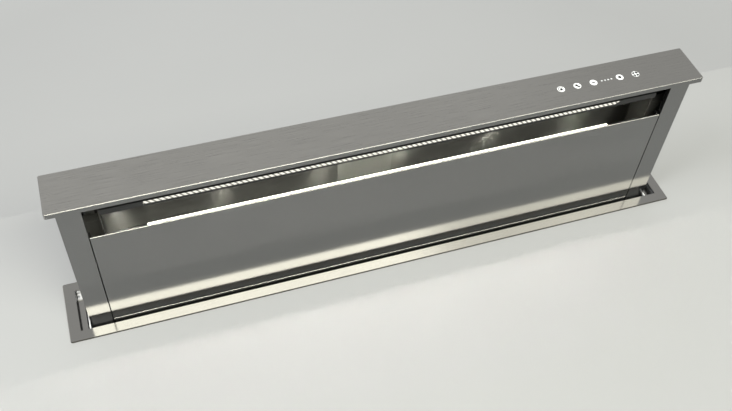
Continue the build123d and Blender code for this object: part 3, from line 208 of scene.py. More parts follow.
def add_prism(bm, outline, low, high, axis="Z"):
    """A closed prism along an axis. Its outline gives the other two coordinates, in their order."""
    rows = []
    for level in (low, high):
        places = [
            {"X": (level, a, b), "Y": (a, level, b), "Z": (a, b, level)}[axis] for a, b in outline
        ]
        rows.append([bm.verts.new(place) for place in places])
    bm.faces.new(list(reversed(rows[0])))
    bm.faces.new(rows[1])
    for n in range(len(outline)):
        after = (n + 1) % len(outline)
        bm.faces.new((rows[0][n], rows[0][after], rows[1][after], rows[1][n]))


def add_band(bm, centre, inner, outer, start, stop, low, high, steps=32):
    """A flat ring or part of a ring, from start to stop in degrees, between two heights."""
    rows = []
    for n in range(steps + 1):
        angle = math.radians(start + (stop - start) * n / steps)
        ray = Vector((math.cos(angle), math.sin(angle)))
        ends = [Vector(centre) + ray * radius for radius in (inner, outer)]
        rows.append([bm.verts.new((p.x, p.y, z)) for z in (low, high) for p in ends])
    for a, b in zip(rows, rows[1:]):
        bm.faces.new((a[0], a[1], b[1], b[0]))
        bm.faces.new((a[2], b[2], b[3], a[3]))
        bm.faces.new((a[1], a[3], b[3], b[1]))
        bm.faces.new((a[0], b[0], b[2], a[2]))
    if abs(stop - start) < 360:
        for row in (rows[0], rows[-1]):
            bm.faces.new((row[0], row[1], row[3], row[2]))


def rectangle(left, right, bottom, top):
    """Corners of an upright rectangle."""
    return [(left, bottom), (right, bottom), (right, top), (left, top)]


def disc(centre, radius, steps=24):
    """Points round a circle."""
    turns = [2 * math.pi * n / steps for n in range(steps)]
    return [(centre[0] + radius * math.cos(t), centre[1] + radius * math.sin(t)) for t in turns]


def bar(centre, length, width, turn=0.0):
    """Corners of a bar, turned about its centre by turn degrees."""
    angle = math.radians(turn)
    along = Vector((math.cos(angle), math.sin(angle))) * length / 2
    across = Vector((-math.sin(angle), math.cos(angle))) * width / 2
    near, far = Vector(centre) - along, Vector(centre) + along
    return [tuple(corner) for corner in (near - across, far - across, far + across, near + across)]


# -------- settings
def colour_setting(label, description, hex_colour):
    """A colour in the sidebar."""
    return bpy.props.FloatVectorProperty(
        name=label, description=description, subtype="COLOR", size=4, min=0, max=1,
        default=linear(hex_colour),
    )


def number_setting(label, description, default, low, high, **kind):
    """A number in the sidebar, with its subtype and unit where they fit."""
    return bpy.props.FloatProperty(
        name=label, description=description, default=default, min=low, max=high, **kind,
    )


def length_setting(label, description, default, low, high):
    """A length in the sidebar, in metres."""
    kind = {"subtype": "DISTANCE", "unit": "LENGTH"}
    return number_setting(label, description, default, low, high, **kind)


class VentSteelSettings(bpy.types.PropertyGroup):
    """Brushed and plated sheet."""

    stainless: colour_setting("Stainless", "Colour of the brushed stainless sheet", "#B1AFAB")
    panel: colour_setting("Panel", "Colour of the satin front panel and columns", "#808080")
    inner: colour_setting("Inner Sheet", "Colour of the sheet inside the air chamber", "#848480")
    galvanised: colour_setting("Galvanised", "Colour of the zinc-coated casing", "#C3C7CA")
    grain_width: length_setting(
        "Grain Width", "Width of one brushing scratch as drawn", 0.0010, 0.0001, 0.01
    )
    grain_length: length_setting("Grain Length", "Length of one brushing scratch", 0.05, 0.005, 1)
    grain_roughness: number_setting(
        "Grain Roughness", "Roughness between the scratches", 0.3, 0, 1, subtype="FACTOR"
    )
    spangle: length_setting("Spangle", "Width of one zinc crystal", 0.009, 0.001, 0.05)


class VentLightSettings(bpy.types.PropertyGroup):
    """Light bars, chamber lamps and touch keys."""

    bar_colour: colour_setting("Bar Colour", "Colour of the lit bars", "#FFFCF2")
    bar_strength: number_setting("Bar Strength", "Emission of the lit bars", 1.7, 0, 100)
    diode_pitch: length_setting(
        "Diode Pitch", "Distance from one diode of the upper bar to the next", 0.00695, 0.002, 0.05
    )
    lamp_strength: number_setting(
        "Chamber Lamp Strength", "Emission of the round lamps in the slot", 1800.0, 0, 5000
    )
    lamp_count: bpy.props.IntProperty(
        name="Lamps a Side", description="Round lamps over each half of the intake slot",
        default=3, min=1, max=8,
    )
    lamp_pitch: length_setting(
        "Lamp Pitch", "Distance from one chamber lamp to the next", 0.144, 0.02, 0.5
    )
    lamp_gap: length_setting(
        "Middle Gap", "Distance between the two middle lamps", 0.124, 0.02, 0.5
    )
    lamp_shift: length_setting(
        "Lamp Shift", "How far the row of lamps stands from the middle", -0.020, -0.1, 0.1
    )
    key_strength: number_setting("Key Strength", "Emission of the lit touch keys", 0.36, 0, 20)
    ink: colour_setting("Symbol Ink", "Colour of the symbols on the keys", "#1E1E1D")


class VentFixingSettings(bpy.types.PropertyGroup):
    """Cross-recessed screw heads."""

    head_radius: length_setting("Screw Head", "Radius of a casing screw's head", 0.003, 0.001, 0.01)
    head_height: length_setting(
        "Head Height", "Height of a casing screw's head", 0.0016, 0.0005, 0.01
    )
    recess: number_setting(
        "Cross Recess", "Width of the cross recess as a part of the head's radius",
        0.3, 0.05, 0.6, subtype="FACTOR",
    )


class VentStageSettings(bpy.types.PropertyGroup):
    """Floor, lamps and camera."""

    floor: colour_setting("Floor", "Colour of the plain floor", "#B3B4B4")
    surround: colour_setting("Surround", "Colour of the studio's soft surround", "#E6E7E6")
    surround_strength: number_setting(
        "Surround Strength", "Brightness of the studio's surround", 0.60, 0, 5
    )
    lamp_power: number_setting(
        "Lamp Power", "Power of the main soft lamp", 66.0, 0, 1000, subtype="POWER", unit="POWER"
    )
    focal_length: number_setting(
        "Focal Length", "Focal length of the camera in millimetres", 45.17, 10, 200
    )
    camera_roll: bpy.props.FloatProperty(
        name="Camera Roll", description="Turn of the camera about its line of sight",
        default=0.0757, subtype="ANGLE", unit="ROTATION",
    )


# -------- metal finishes
def grained(name, colour, pattern, tone, rough, relief, edges=None, **inputs):
    """A finish drawn by one noise pattern, which its tone, roughness and relief all follow.

    The tone changes over the whole pattern, or only between its two edges where they are given.
    """
    material, tree = start_material(name)
    grain = noise(tree, *pattern)
    factor = spread(tree, grain, 0, 1, *edges) if edges else grain
    return end_material(material, {
        "Base Color": tones(tree, factor, colour, *tone), "Roughness": spread(tree, grain, *rough),
        "Normal": bump(tree, grain, *relief), **inputs,
    })


def brushed_stainless(
    name, colour, grain="X", roughness=None, spread_out=0.6, contrast=1.0, metallic=1.0
):
    """Stainless sheet brushed in straight lines along one axis.

    The eye sees fine parallel streaks, and highlights drawn out across them. Real scratches are
    under 0.1 mm wide, so they are drawn about 1 mm wide to show at this distance.
    """
    steel = bpy.context.scene.vent_steel
    roughness = steel.grain_roughness if roughness is None else roughness
    material, tree = start_material(name)
    fine, long = 1 / steel.grain_width, 1 / steel.grain_length
    stretch = {"X": (long, fine, fine), "Y": (fine, long, fine), "Z": (fine, fine, long)}[grain]
    streaks = noise(tree, 1.0, 3.0, 0.65, stretch)
    clouds = noise(tree, 5.0, 2.0, 0.5)
    both = spread(tree, maths(tree, "MULTIPLY_ADD", streaks, 0.75, clouds), 0, 1, 0.55, 1.2)
    colours = tones(tree, both, colour, 1 - 0.10 * contrast, 1 + 0.08 * contrast)
    rough = spread(tree, streaks, roughness - 0.05, roughness + 0.08)
    tangent = add_node(tree, "ShaderNodeTangent", {"direction_type": "RADIAL", "axis": grain})
    return end_material(material, {
        "Base Color": colours, "Metallic": metallic, "Roughness": rough, "Anisotropic": spread_out,
        "Tangent": tangent.outputs[0], "Normal": bump(tree, streaks, 0.08 * contrast, 0.00012),
    })


def polished_edge(name, colour):
    """A bevel dressed bright after the sheet was cut: it catches the light as one thin line."""
    nicks = (60.0, 3.0, 0.6)
    return grained(name, colour, nicks, (0.9, 1.05), (0.22, 0.3), (0.03, 0.0001), Metallic=1.0)


def painted_shadow_edge(name, colour):
    """Painted shadow on a sheet's edge: darkened, matt and finely ribbed, it stands in for the
    shadow line there.
    """
    ribs = (1.0, 2.0, 0.6, (1600.0, 200.0, 200.0))
    return grained(name, colour, ribs, (0.8, 1.2), (0.55, 0.75), (0.2, 0.0001), Metallic=0.6)


def galvanised_sheet(name, colour):
    """Hot-dip zinc on steel sheet: matt grey, with a spangle of flat crystals about 9 mm wide."""
    steel = bpy.context.scene.vent_steel
    material, tree = start_material(name)
    inputs = {"Vector": object_coords(tree), "Scale": 1 / steel.spangle, "Randomness": 1.0}
    crystals = add_node(tree, "ShaderNodeTexVoronoi", {"feature": "F1"}, inputs)
    tone = add_node(tree, "ShaderNodeSeparateColor", inputs={0: crystals.outputs["Color"]})
    frost = noise(tree, 900.0, 3.0, 0.6)
    both = spread(tree, maths(tree, "MULTIPLY_ADD", frost, 0.5, tone.outputs[0]), 0, 1, 0.2, 1.3)
    return end_material(material, {
        "Base Color": tones(tree, both, colour, 0.86, 1.05), "Metallic": 0.75,
        "Roughness": spread(tree, tone.outputs[1], 0.42, 0.54, 0, 1),
        "Normal": bump(tree, frost, 0.12, 0.0001),
    })


def anodised_aluminium(name, colour, metallic=1.0):
    """Aluminium with a satin anodised skin: even, soft sheen with faint die lines along X."""
    lines = (1.0, 2.0, 0.5, (4.0, 1400.0, 1400.0))
    rough, relief = (0.34, 0.44), (0.05, 0.0001)
    return grained(name, colour, lines, (0.92, 1.05), rough, relief, Metallic=metallic)


def expanded_aluminium(name, colour):
    """Layers of expanded aluminium mesh: bright strands about 1 mm wide over dark diamond gaps."""
    material, tree = start_material(name)
    inputs = {"Vector": object_coords(tree, (1 / 0.006, 1 / 0.003, 1 / 0.003)), "Scale": 1.0}
    cells = add_node(tree, "ShaderNodeTexVoronoi", {"feature": "DISTANCE_TO_EDGE"}, inputs)
    strands = spread(tree, cells.outputs["Distance"], 1.0, 0.0, 0.08, 0.22)
    return end_material(material, {
        "Base Color": tones(tree, strands, colour, 0.12, 1.0), "Metallic": 1.0,
        "Roughness": spread(tree, strands, 0.7, 0.34, 0, 1),
        "Normal": bump(tree, strands, 0.6, 0.0006),
    })


def rolled_aluminium(name, colour):
    """Mill-finish aluminium sheet: bright, with long rolling streaks up the flap."""
    streaks = (1.0, 3.0, 0.6, (900.0, 900.0, 12.0))
    return grained(name, colour, streaks, (0.85, 1.05), (0.24, 0.4), (0.08, 0.0001), Metallic=1.0)


def sintered_bronze(name, colour):
    """Pressed and sintered bronze, oiled: warm brown metal with tiny dark pores."""
    pores, relief = (2500.0, 2.0, 0.7), (0.3, 0.0001)
    return grained(name, colour, pores, (0.5, 1.0), (0.55, 0.36), relief, (0.4, 0.6), Metallic=1.0)


def ground_steel(name, colour):
    """Centreless-ground shaft steel: a mirror crossed by very fine rings round the shaft."""
    rings = (1.0, 2.0, 0.5, (2500.0, 40.0, 40.0))
    return grained(name, colour, rings, (0.9, 1.05), (0.16, 0.3), (0.05, 0.00005), Metallic=1.0)


def zinc_plate(name, colour):
    """Bright zinc plating with a faint blue tint, a little dulled by handling."""
    wear = (400.0, 3.0, 0.6)
    return grained(name, colour, wear, (0.8, 1.0), (0.22, 0.42), (0.06, 0.00005), Metallic=1.0)


def motor_enamel(name, colour):
    """Stoved enamel on a drawn steel can: dark, half gloss, with a soft orange-peel ripple."""
    peel, skin = (380.0, 2.0, 0.5), {"Metallic": 0.0, "IOR": 1.5}
    return grained(name, colour, peel, (0.9, 1.1), (0.3, 0.42), (0.15, 0.0002), **skin)


# -------- plastic, rubber and lit finishes
def moulded_plastic(name, colour, roughness, grain=0.0006, relief=0.2):
    """Injection-moulded plastic: one colour through, with its tool's fine spark-eroded grain."""
    material, tree = start_material(name)
    texture = noise(tree, 1 / grain, 2.0, 0.6)
    drift = noise(tree, 12.0, 2.0, 0.5)
    return end_material(material, {
        "Base Color": tones(tree, drift, colour, 0.92, 1.08), "IOR": 1.49,
        "Roughness": spread(tree, texture, roughness - 0.05, roughness + 0.08),
        "Normal": bump(tree, texture, relief, 0.00008),
    })


def moulded_rubber(name, colour):
    """Nitrile rubber: black going to grey where it has bloomed, quite matt."""
    bloom, relief = (160.0, 3.0, 0.6), (0.1, 0.0002)
    return grained(name, colour, bloom, (1.0, 2.2), (0.7, 0.88), relief, (0.3, 0.7), IOR=1.52)


def printed_board(name, colour):
    """Glass-epoxy board under green solder resist, with paler tracks about 5 mm apart."""
    material, tree = start_material(name)
    settings = {"distance": "CHEBYCHEV", "feature": "F1"}
    inputs = {"Vector": object_coords(tree, (400.0, 400.0, 400.0)), "Scale": 0.5}
    cells = add_node(tree, "ShaderNodeTexVoronoi", settings, inputs)
    tracks = spread(tree, cells.outputs["Distance"], 0, 1, 0.38, 0.42)
    return end_material(material, {
        "Base Color": tones(tree, tracks, colour, 0.7, 1.9), "IOR": 1.55,
        "Roughness": spread(tree, tracks, 0.3, 0.42, 0, 1),
        "Normal": bump(tree, tracks, 0.2, 0.00005),
    })


def lit_opal(name, colour, strength):
    """Opal acrylic over light-emitting diodes: even white with a slightly milky edge."""
    material, tree = start_material(name)
    milk = noise(tree, 60.0, 1.0, 0.5)
    return end_material(material, {
        "Base Color": tones(tree, milk, colour, 0.94, 1.0), "IOR": 1.49,
        "Roughness": 0.45, "Emission Color": colour,
        "Emission Strength": spread(tree, milk, strength * 0.94, strength * 1.06),
    })


def diode_bar(name, colour, strength, pitch):
    """Ridged clear acrylic over light-emitting diodes: slanting white flecks, grey between them."""
    material, tree = start_material(name)
    slant = {0: object_coords(tree), 1: (1 / pitch, 0, 0.9 / pitch)}
    along = add_node(tree, "ShaderNodeVectorMath", {"operation": "DOT_PRODUCT"}, slant)
    places = maths(tree, "PINGPONG", along.outputs["Value"], 0.5)
    glow = spread(tree, places, 0.06 * strength, strength, 0.18, 0.24)
    return end_material(material, {
        "Base Color": tones(tree, glow, colour, 0.25, 0.5), "IOR": 1.49,
        "Roughness": 0.3, "Emission Color": colour, "Emission Strength": glow,
    })


def printed_ink(name, colour):
    """Screen-printed ink on the key lenses: flat and nearly matt."""
    material, tree = start_material(name)
    screen = noise(tree, 6000.0, 1.0, 0.5)
    return end_material(material, {
        "Base Color": tones(tree, screen, colour, 1.0, 1.3), "IOR": 1.5,
        "Roughness": spread(tree, screen, 0.5, 0.6),
    })


def studio_paint(name, colour, far=1.0):
    """Plain matt paint of the studio floor; beyond the lamps' reach its tone is far times paler."""
    material, tree = start_material(name)
    roller = noise(tree, 3.0, 2.0, 0.5)
    coords = {0: object_coords(tree)}
    away = add_node(tree, "ShaderNodeVectorMath", {"operation": "LENGTH"}, coords)
    near = tones(tree, roller, colour, 0.985, 1.01)
    beyond = spread(tree, away.outputs["Value"], 0, 1, 1.7, 4.5)
    return end_material(material, {
        "Base Color": blend(tree, beyond, near, shade(colour, far)), "IOR": 1.45,
        "Roughness": 0.85,
    })


# -------- repeated pieces by Geometry Nodes
def fixing_tree(name):
    """A pan head with a cross recess on each point, facing along the point's way attribute."""
    tree = bpy.data.node_groups.new(name, "GeometryNodeTree")
    tree.is_modifier = True
    tree.interface.new_socket("Geometry", in_out="INPUT", socket_type="NodeSocketGeometry")
    for label, value in (("Radius", 0.003), ("Height", 0.0016), ("Recess", 0.3)):
        socket = tree.interface.new_socket(label, in_out="INPUT", socket_type="NodeSocketFloat")
        socket.default_value = value
    tree.interface.new_socket("Finish", in_out="INPUT", socket_type="NodeSocketMaterial")
    tree.interface.new_socket("Geometry", in_out="OUTPUT", socket_type="NodeSocketGeometry")
    given = add_node(tree, "NodeGroupInput").outputs
    radius, height = given["Radius"], given["Height"]

    ball = {"Segments": 20, "Rings": 12, "Radius": 1.0}
    round_head = add_node(tree, "GeometryNodeMeshUVSphere", inputs=ball)
    head_size = add_node(tree, "ShaderNodeCombineXYZ", inputs={0: radius, 1: radius, 2: height})
    scaled = {"Geometry": round_head.outputs["Mesh"], "Scale": head_size.outputs[0]}
    head = add_node(tree, "GeometryNodeTransform", inputs=scaled)

    length = maths(tree, "MULTIPLY", radius, 1.15)
    width = maths(tree, "MULTIPLY", radius, given["Recess"])
    lift = add_node(tree, "ShaderNodeCombineXYZ", inputs={2: height})
    recessed = {"Mesh 1": head.outputs["Geometry"]}
    cut = add_node(tree, "GeometryNodeMeshBoolean", {"operation": "DIFFERENCE"}, recessed)
    for across, along in ((length, width), (width, length)):
        size = add_node(tree, "ShaderNodeCombineXYZ", inputs={0: across, 1: along, 2: height})
        block = add_node(tree, "GeometryNodeMeshCube", inputs={"Size": size.outputs[0]})
        moved = {"Geometry": block.outputs["Mesh"], "Translation": lift.outputs[0]}
        cutter = add_node(tree, "GeometryNodeTransform", inputs=moved)
        tree.links.new(cutter.outputs["Geometry"], cut.inputs["Mesh 2"])

    vector = {"data_type": "FLOAT_VECTOR"}
    way = add_node(tree, "GeometryNodeInputNamedAttribute", vector, {"Name": "way"})
    facing = {"Vector": way.outputs["Attribute"]}
    turn = add_node(tree, "FunctionNodeAlignRotationToVector", {"axis": "Z"}, facing)
    placed = add_node(tree, "GeometryNodeInstanceOnPoints", inputs={
        "Points": given["Geometry"], "Instance": cut.outputs["Mesh"], "Rotation": turn.outputs[0],
    })
    instances = {"Geometry": placed.outputs["Instances"]}
    real = add_node(tree, "GeometryNodeRealizeInstances", inputs=instances)
    finished = {"Geometry": real.outputs["Geometry"], "Material": given["Finish"]}
    dressed = add_node(tree, "GeometryNodeSetMaterial", inputs=finished)
    add_node(tree, "NodeGroupOutput", inputs={"Geometry": dressed.outputs["Geometry"]})
    return tree


def grow(name, points, tree, values):
    """The plain mesh that a node tree grows on points, given as (place, direction) pairs."""
    seeds = bpy.data.meshes.new(name + "_points")
    seeds.from_pydata([place for place, _ in points], [], [])
    way = seeds.attributes.new("way", "FLOAT_VECTOR", "POINT")
    for n, (_, direction) in enumerate(points):
        way.data[n].vector = direction
    holder = bpy.data.objects.new(name + "_holder", seeds)
    bpy.context.scene.collection.objects.link(holder)
    modifier = holder.modifiers.new("Growth", "NODES")
    modifier.node_group = tree
    for socket in tree.interface.items_tree:
        if socket.in_out == "INPUT" and socket.name in values:
            modifier[socket.identifier] = values[socket.name]
    bpy.context.view_layer.update()
    grown = holder.evaluated_get(bpy.context.evaluated_depsgraph_get())
    mesh = bpy.data.meshes.new_from_object(grown)
    mesh.name = name
    bpy.data.objects.remove(holder)
    if not mesh.polygons:
        raise RuntimeError(name + " grew no faces")
    return mesh


# -------- operators
class VENT_OT_tower_sheet(bpy.types.Operator):
    """Brush the cap, columns, panel, flange, end ledges and guide rails"""

    bl_idname = "vent.tower_sheet"
    bl_label = "Tower Sheet"

    def execute(self, context):
        steel = context.scene.vent_steel
        sheet, panel = steel.stainless[:], steel.panel[:]
        dress(brushed_stainless("brushed_stainless_along_x", sheet, contrast=0.45), "cap")
        flange = brushed_stainless("fine_brushed_flange", sheet, "X", 0.13, 0.1, 0.4)
        dress(flange, "worktop_flange")
        satin = brushed_stainless("satin_stainless_panel", panel, "X", 0.13, 0.2, 0.5, 0.95)
        dress(satin, "front_panel")
        upright = brushed_stainless("satin_stainless_upright", panel, "Z", 0.13, 0.0, 0.5, 0.95)
        dress(upright, "column_left", "column_right")
        dress(brushed_stainless("smooth_stainless_ledge", sheet, "X", 0.18, 0.0, 0.5), "end_ledges")
        dress(brushed_stainless("stainless_guide_rail", sheet, "Z"), "guide_rails")
        # the slanted faces within a millimetre of the top are the bevels
        bevels = (
            ("cap", "polished_cap_edge", "#B5B4B0"),
            ("front_panel", "polished_panel_edge", "#E4E3DC"),
        )
        for node, name, tone in bevels:
            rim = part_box(node)[1].z - 0.001
            edge = polished_edge(name, linear(tone))
            dress_faces(node, edge, lambda at, normal: 0.2 < abs(normal.z) < 0.97 and at.z > rim)
        # painted shade: the cap's long upright faces take the darker panel sheet, so they read
        # darker than its top
        dress_faces("cap", satin, lambda at, normal: abs(normal.y) > 0.99 and abs(at.y) > 0.032)
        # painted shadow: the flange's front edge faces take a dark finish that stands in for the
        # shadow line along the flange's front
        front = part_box("worktop_flange")[0].y + 0.002
        cut = painted_shadow_edge("stainless_edge_painted_shadow", linear("#4A4844"))
        dress_faces("worktop_flange", cut, lambda at, normal: normal.y < -0.3 and at.y < front)
        return {"FINISHED"}


class VENT_OT_thin_trim(bpy.types.Operator):
    """Add the panel's rolled foot, the wipers, seals and pad lips, and the chamber's cover plate"""

    bl_idname = "vent.thin_trim"
    bl_label = "Thin Trim"

    def execute(self, context):
        edge = bpy.data.materials["polished_panel_edge"]
        rubber = moulded_rubber("extruded_rubber_seal", linear("#1D1D1F"))
        nylon = moulded_plastic("extruded_nylon_wiper", linear("#FBFBF9"), 0.4, 0.0007, 0.1)
        felt = moulded_plastic("pressed_felt_wiper", linear("#EDECE6"), 0.85, 0.0012, 0.3)
        satin = anodised_aluminium("satin_aluminium_plate", linear("#898A84"), 0.15)

        panel_low, panel_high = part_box("front_panel")
        reach, radius = panel_high.x - 0.0006, 0.0008
        bead_level, shadow_strip_level = -0.0030, -0.0013

        def add_roll(bm, level):
            outline = []
            for n in range(9):
                turn = math.pi * (0.5 + n / 8)
                y = panel_low.y + 0.8 * radius * math.cos(turn)
                outline.append((y, level + radius * math.sin(turn)))
            add_prism(bm, outline, -reach, reach, "X")

        def bead(bm):
            add_roll(bm, bead_level)

        def shadow_strip(bm):
            add_roll(bm, shadow_strip_level)

        built_piece("panel_foot_bead", bead, "front_panel", edge)
        # painted shadow: the black rubber roll between the panel and its bead stands in for the
        # shadow gap at the panel's foot
        built_piece("panel_foot_shadow_strip", shadow_strip, "front_panel", rubber)

        pad_low, pad_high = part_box("cap_pads")
        ledge_top, rail_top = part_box("end_ledges")[1].z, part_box("guide_rails")[1].z
        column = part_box("column_right")[1].x
        mouth = 0.0344  # half the opening's width, just inside the flange
        wall = 0.0368  # the casing's inner face
        wiper_reach = 0.4370  # half the length of the long wipers
        wiper_top, seal_top, lip_top = -0.0064, -0.0050, -0.0003

        def add_blades(bm, inner, outer, blades):
            cut = (outer - inner) / 3
            for side in (-1, 1):
                for foot_y, head_y, low, high in blades:
                    outline = [(inner, foot_y), (outer, foot_y), (outer, head_y - cut)]
                    outline += [(outer - cut, head_y), (inner + cut, head_y), (inner, head_y - cut)]
                    add_prism(bm, [(side * x, y) for x, y in outline], low, high)

        def end_wipers(bm):
            inner, outer, head_y = column + 0.0011, column + 0.0029, 0.0130
            add_blades(bm, inner, outer, [(-mouth, head_y, rail_top, wiper_top)])

        def seals(bm):
            outer = pad_high.x - 0.0024
            front = (-mouth, pad_low.y, ledge_top, seal_top)
            rear = (pad_low.y, mouth, pad_high.z, seal_top)
            add_blades(bm, outer - 0.0010, outer, [front, rear])

        def lips(bm):
            foot, thick = pad_high.z - 0.0001, 0.0011
            outline = [(mouth - thick, foot), (mouth, foot), (mouth, lip_top)]
            outline += [(mouth - 0.0007, lip_top), (mouth - thick, lip_top - 0.0005)]
            for side in (-1, 1):
                ends = sorted((side * (column + 0.0052), side * (pad_high.x - 0.0040)))
                add_prism(bm, outline, *ends, "X")

        def long_wipers(bm):
            back = [(wall, -0.0170), (wall, -0.0012)]
            tip = [(wall - 0.0008, -0.0012), (wall - 0.0078, -0.0136), (wall - 0.0074, -0.0150)]
            for side in (-1, 1):
                outline = [(side * y, z) for y, z in back + tip]
                add_prism(bm, outline, -wiper_reach, wiper_reach, "X")

        built_piece("long_wipers", long_wipers, "casing", felt)
        built_piece("end_wipers", end_wipers, "casing", nylon)
        built_piece("ledge_seals", seals, "casing", rubber)
        built_piece("pad_lips", lips, "casing", nylon)

        # the plate lies on the front of the chamber's 1.5 mm back wall
        face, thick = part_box("back_panel")[1].y - 0.0015, 0.0006

        def plate(bm):
            left, right, bottom, top, cut = -0.069, 0.010, 0.110, 0.200, 0.002
            outline = [(left + cut, bottom), (right - cut, bottom)]
            outline += [(right, bottom + cut), (right, top - cut), (right - cut, top)]
            outline += [(left + cut, top), (left, top - cut), (left, bottom + cut)]
            add_prism(bm, outline, face - thick, face, "Y")

        built_piece("chamber_cover_plate", plate, "tower", satin)
        return {"FINISHED"}


class VENT_OT_air_chamber(bpy.types.Operator):
    """Finish the air chamber, its filters and the lamp box"""

    bl_idname = "vent.air_chamber"
    bl_label = "Air Chamber"

    def execute(self, context):
        inner = context.scene.vent_steel.inner[:]
        # the wall's open grain draws each lamp out into a tall narrow streak
        dress(brushed_stainless("open_grain_chamber_wall", inner, "X", 0.33, 1.0), "back_panel")
        outside = bpy.data.materials["satin_stainless_panel"]
        dress_faces("back_panel", outside, lambda at, normal: normal.y > 0.5 and at.y > 0.022)
        bracket = anodised_aluminium("blasted_bracket_plate", linear("#62625E"), 0.25)
        dress(bracket, "side_brackets")
        # painted shade: the chamber ends are drawn near black for the shade in the side cavities,
        # and their front faces take the painted shadow edge
        dress(anodised_aluminium("end_plate_painted_shade", linear("#363634"), 0.3), "chamber_ends")
        dark_edge = bpy.data.materials["stainless_edge_painted_shadow"]
        dress_faces("chamber_ends", dark_edge, lambda at, normal: normal.y < -0.9)
        # painted shade: the lamp box is drawn nearly black for the shade under the cap
        dress(anodised_aluminium("lamp_box_painted_shade", linear("#3F4040"), 0.6), "lamp_box")
        dress(anodised_aluminium("anodised_aluminium_profile", linear("#8F9092")), "filter_frame")
        mesh = expanded_aluminium("expanded_aluminium_mesh", linear("#CCCED0"))
        dress(mesh, "grease_filter_left", "grease_filter_middle", "grease_filter_right")
        return {"FINISHED"}


class VENT_OT_light_bars(bpy.types.Operator):
    """Light the two bars and the round lamps over the intake slot"""

    bl_idname = "vent.light_bars"
    bl_label = "Light Bars"

    def execute(self, context):
        light = context.scene.vent_light
        colour, strength = light.bar_colour[:], light.bar_strength
        dress(lit_opal("lit_opal_acrylic", colour, strength), "lower_light")
        dress(lit_opal("lit_clear_acrylic", colour, 1.6 * strength), "upper_light")

        low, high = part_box("lamp_box")
        under, row = low.z, low.y + 0.010
        lens_foot, bezel_foot, sunk = under - 0.0012, under - 0.0015, under + 0.0004
        lens_radius, bezel_radius = 0.0024, 0.0050
        places = []
        for side in (-1, 1):
            for n in range(light.lamp_count):
                away = light.lamp_gap / 2 + light.lamp_pitch * n
                places.append((light.lamp_shift + side * away, row))

        def lenses(bm):
            for place in places:
                add_prism(bm, disc(place, lens_radius), lens_foot, sunk)

        def bezels(bm):
            for place in places:
                add_band(bm, place, lens_radius, bezel_radius, 0, 360, bezel_foot, sunk, 36)

        # the ridged cover stands in front of the bar and the lamp box, between two black lips.
        # Their black is partly painted shadow: the lower lip draws the shadow line under the bar,
        # and the black ends the shaded lamp box beyond it
        bar_low, bar_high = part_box("upper_light")
        front, back = bar_low.y - 0.0011, bar_low.y - 0.0001
        foot, head = bar_low.z, under + 0.0048
        joint, crown = foot + 0.0036, head + 0.0007

        def carrier(bm):
            lower = rectangle(front, back, foot, joint)
            upper = rectangle(front, low.y - 0.0001, head, crown)
            for profile in (lower, upper):
                add_prism(bm, profile, bar_low.x, bar_high.x, "X")
            tall = rectangle(front, low.y - 0.0002, foot, crown)
            add_prism(bm, tall, low.x + 0.0005, bar_low.x - 0.0003, "X")
            add_prism(bm, tall, bar_high.x + 0.0003, high.x - 0.0005, "X")
            # a slanted end hides the last diodes on the right
            stop, base, broad, narrow = bar_high.x + 0.0004, joint - 0.0004, 0.0120, 0.0040
            slanted = [(stop - broad, base), (stop, base), (stop, head), (stop - narrow, head)]
            add_prism(bm, slanted, front - 0.0003, front + 0.0004, "Y")

        def cover(bm):
            add_prism(bm, rectangle(front, back, joint, head), bar_low.x, bar_high.x, "X")

        ridged = diode_bar("lit_ridged_acrylic", colour, 0.40 * strength, light.diode_pitch)
        built_piece("light_bar_cover", cover, "tower", ridged)
        black = anodised_aluminium("black_carrier_and_shadow_line", linear("#2B2B2B"), 0.4)
        built_piece("light_bar_carrier", carrier, "tower", black)
        lens = lit_opal("lit_lamp_lens", colour, light.lamp_strength)
        built_piece("chamber_lamp_lenses", lenses, "tower", lens)
        rim = zinc_plate("plated_lamp_bezel", linear("#C8CACC"))
        built_piece("chamber_lamp_bezels", bezels, "tower", rim)
        return {"FINISHED"}


class VENT_OT_touch_keys(bpy.types.Operator):
    """Light the touch keys and print their symbols"""

    bl_idname = "vent.touch_keys"
    bl_label = "Touch Keys"

    def execute(self, context):
        light = context.scene.vent_light
        dress(lit_opal("lit_key_lens", linear("#F4F6F6"), light.key_strength), "key_lenses")
        level_lens = lit_opal("lit_level_lens", linear("#DADCDC"), 0.35 * light.key_strength)
        dress(level_lens, "level_lamps")
        board = printed_board("green_circuit_board", linear("#1F5A35"))
        dress(board, "touch_board", "light_board", "control_board")

        low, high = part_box("key_lenses")
        radius, pitch = (high.y - low.y) / 2, 0.025
        first, last = low.x + radius, high.x - radius
        keys = [first, first + pitch, first + 2 * pitch, last - pitch, last]
        level, top = high.z + 0.00002, high.z + 0.00008

        def symbols(bm):
            timer, lamp, less, more, fan = [(x, 0.0) for x in keys]
            add_prism(bm, disc((timer[0] + 0.0003, -0.0004), 0.0021), level, top)
            add_band(bm, timer, 0.0034, 0.0043, 20, 250, level, top)
            marks = [
                disc((lamp[0] - 0.0010, 0.0013), 0.0019),
                bar((lamp[0] + 0.0008, -0.0010), 0.0060, 0.0026, -50),
                bar(less, 0.0054, 0.0018),
                bar(more, 0.0050, 0.0026),
                bar((more[0], -0.0019), 0.0026, 0.0012),
                bar((more[0], 0.0019), 0.0026, 0.0012),
            ]
            for outline in marks:
                add_prism(bm, outline, level, top)
            for blade in range(4):
                start = 90 * blade + 12
                add_band(bm, fan, 0.0016, 0.0047, start, start + 66, level, top, 12)

        ink = printed_ink("screen_printed_ink", light.ink[:])
        built_piece("key_symbols", symbols, "tower", ink)
        return {"FINISHED"}


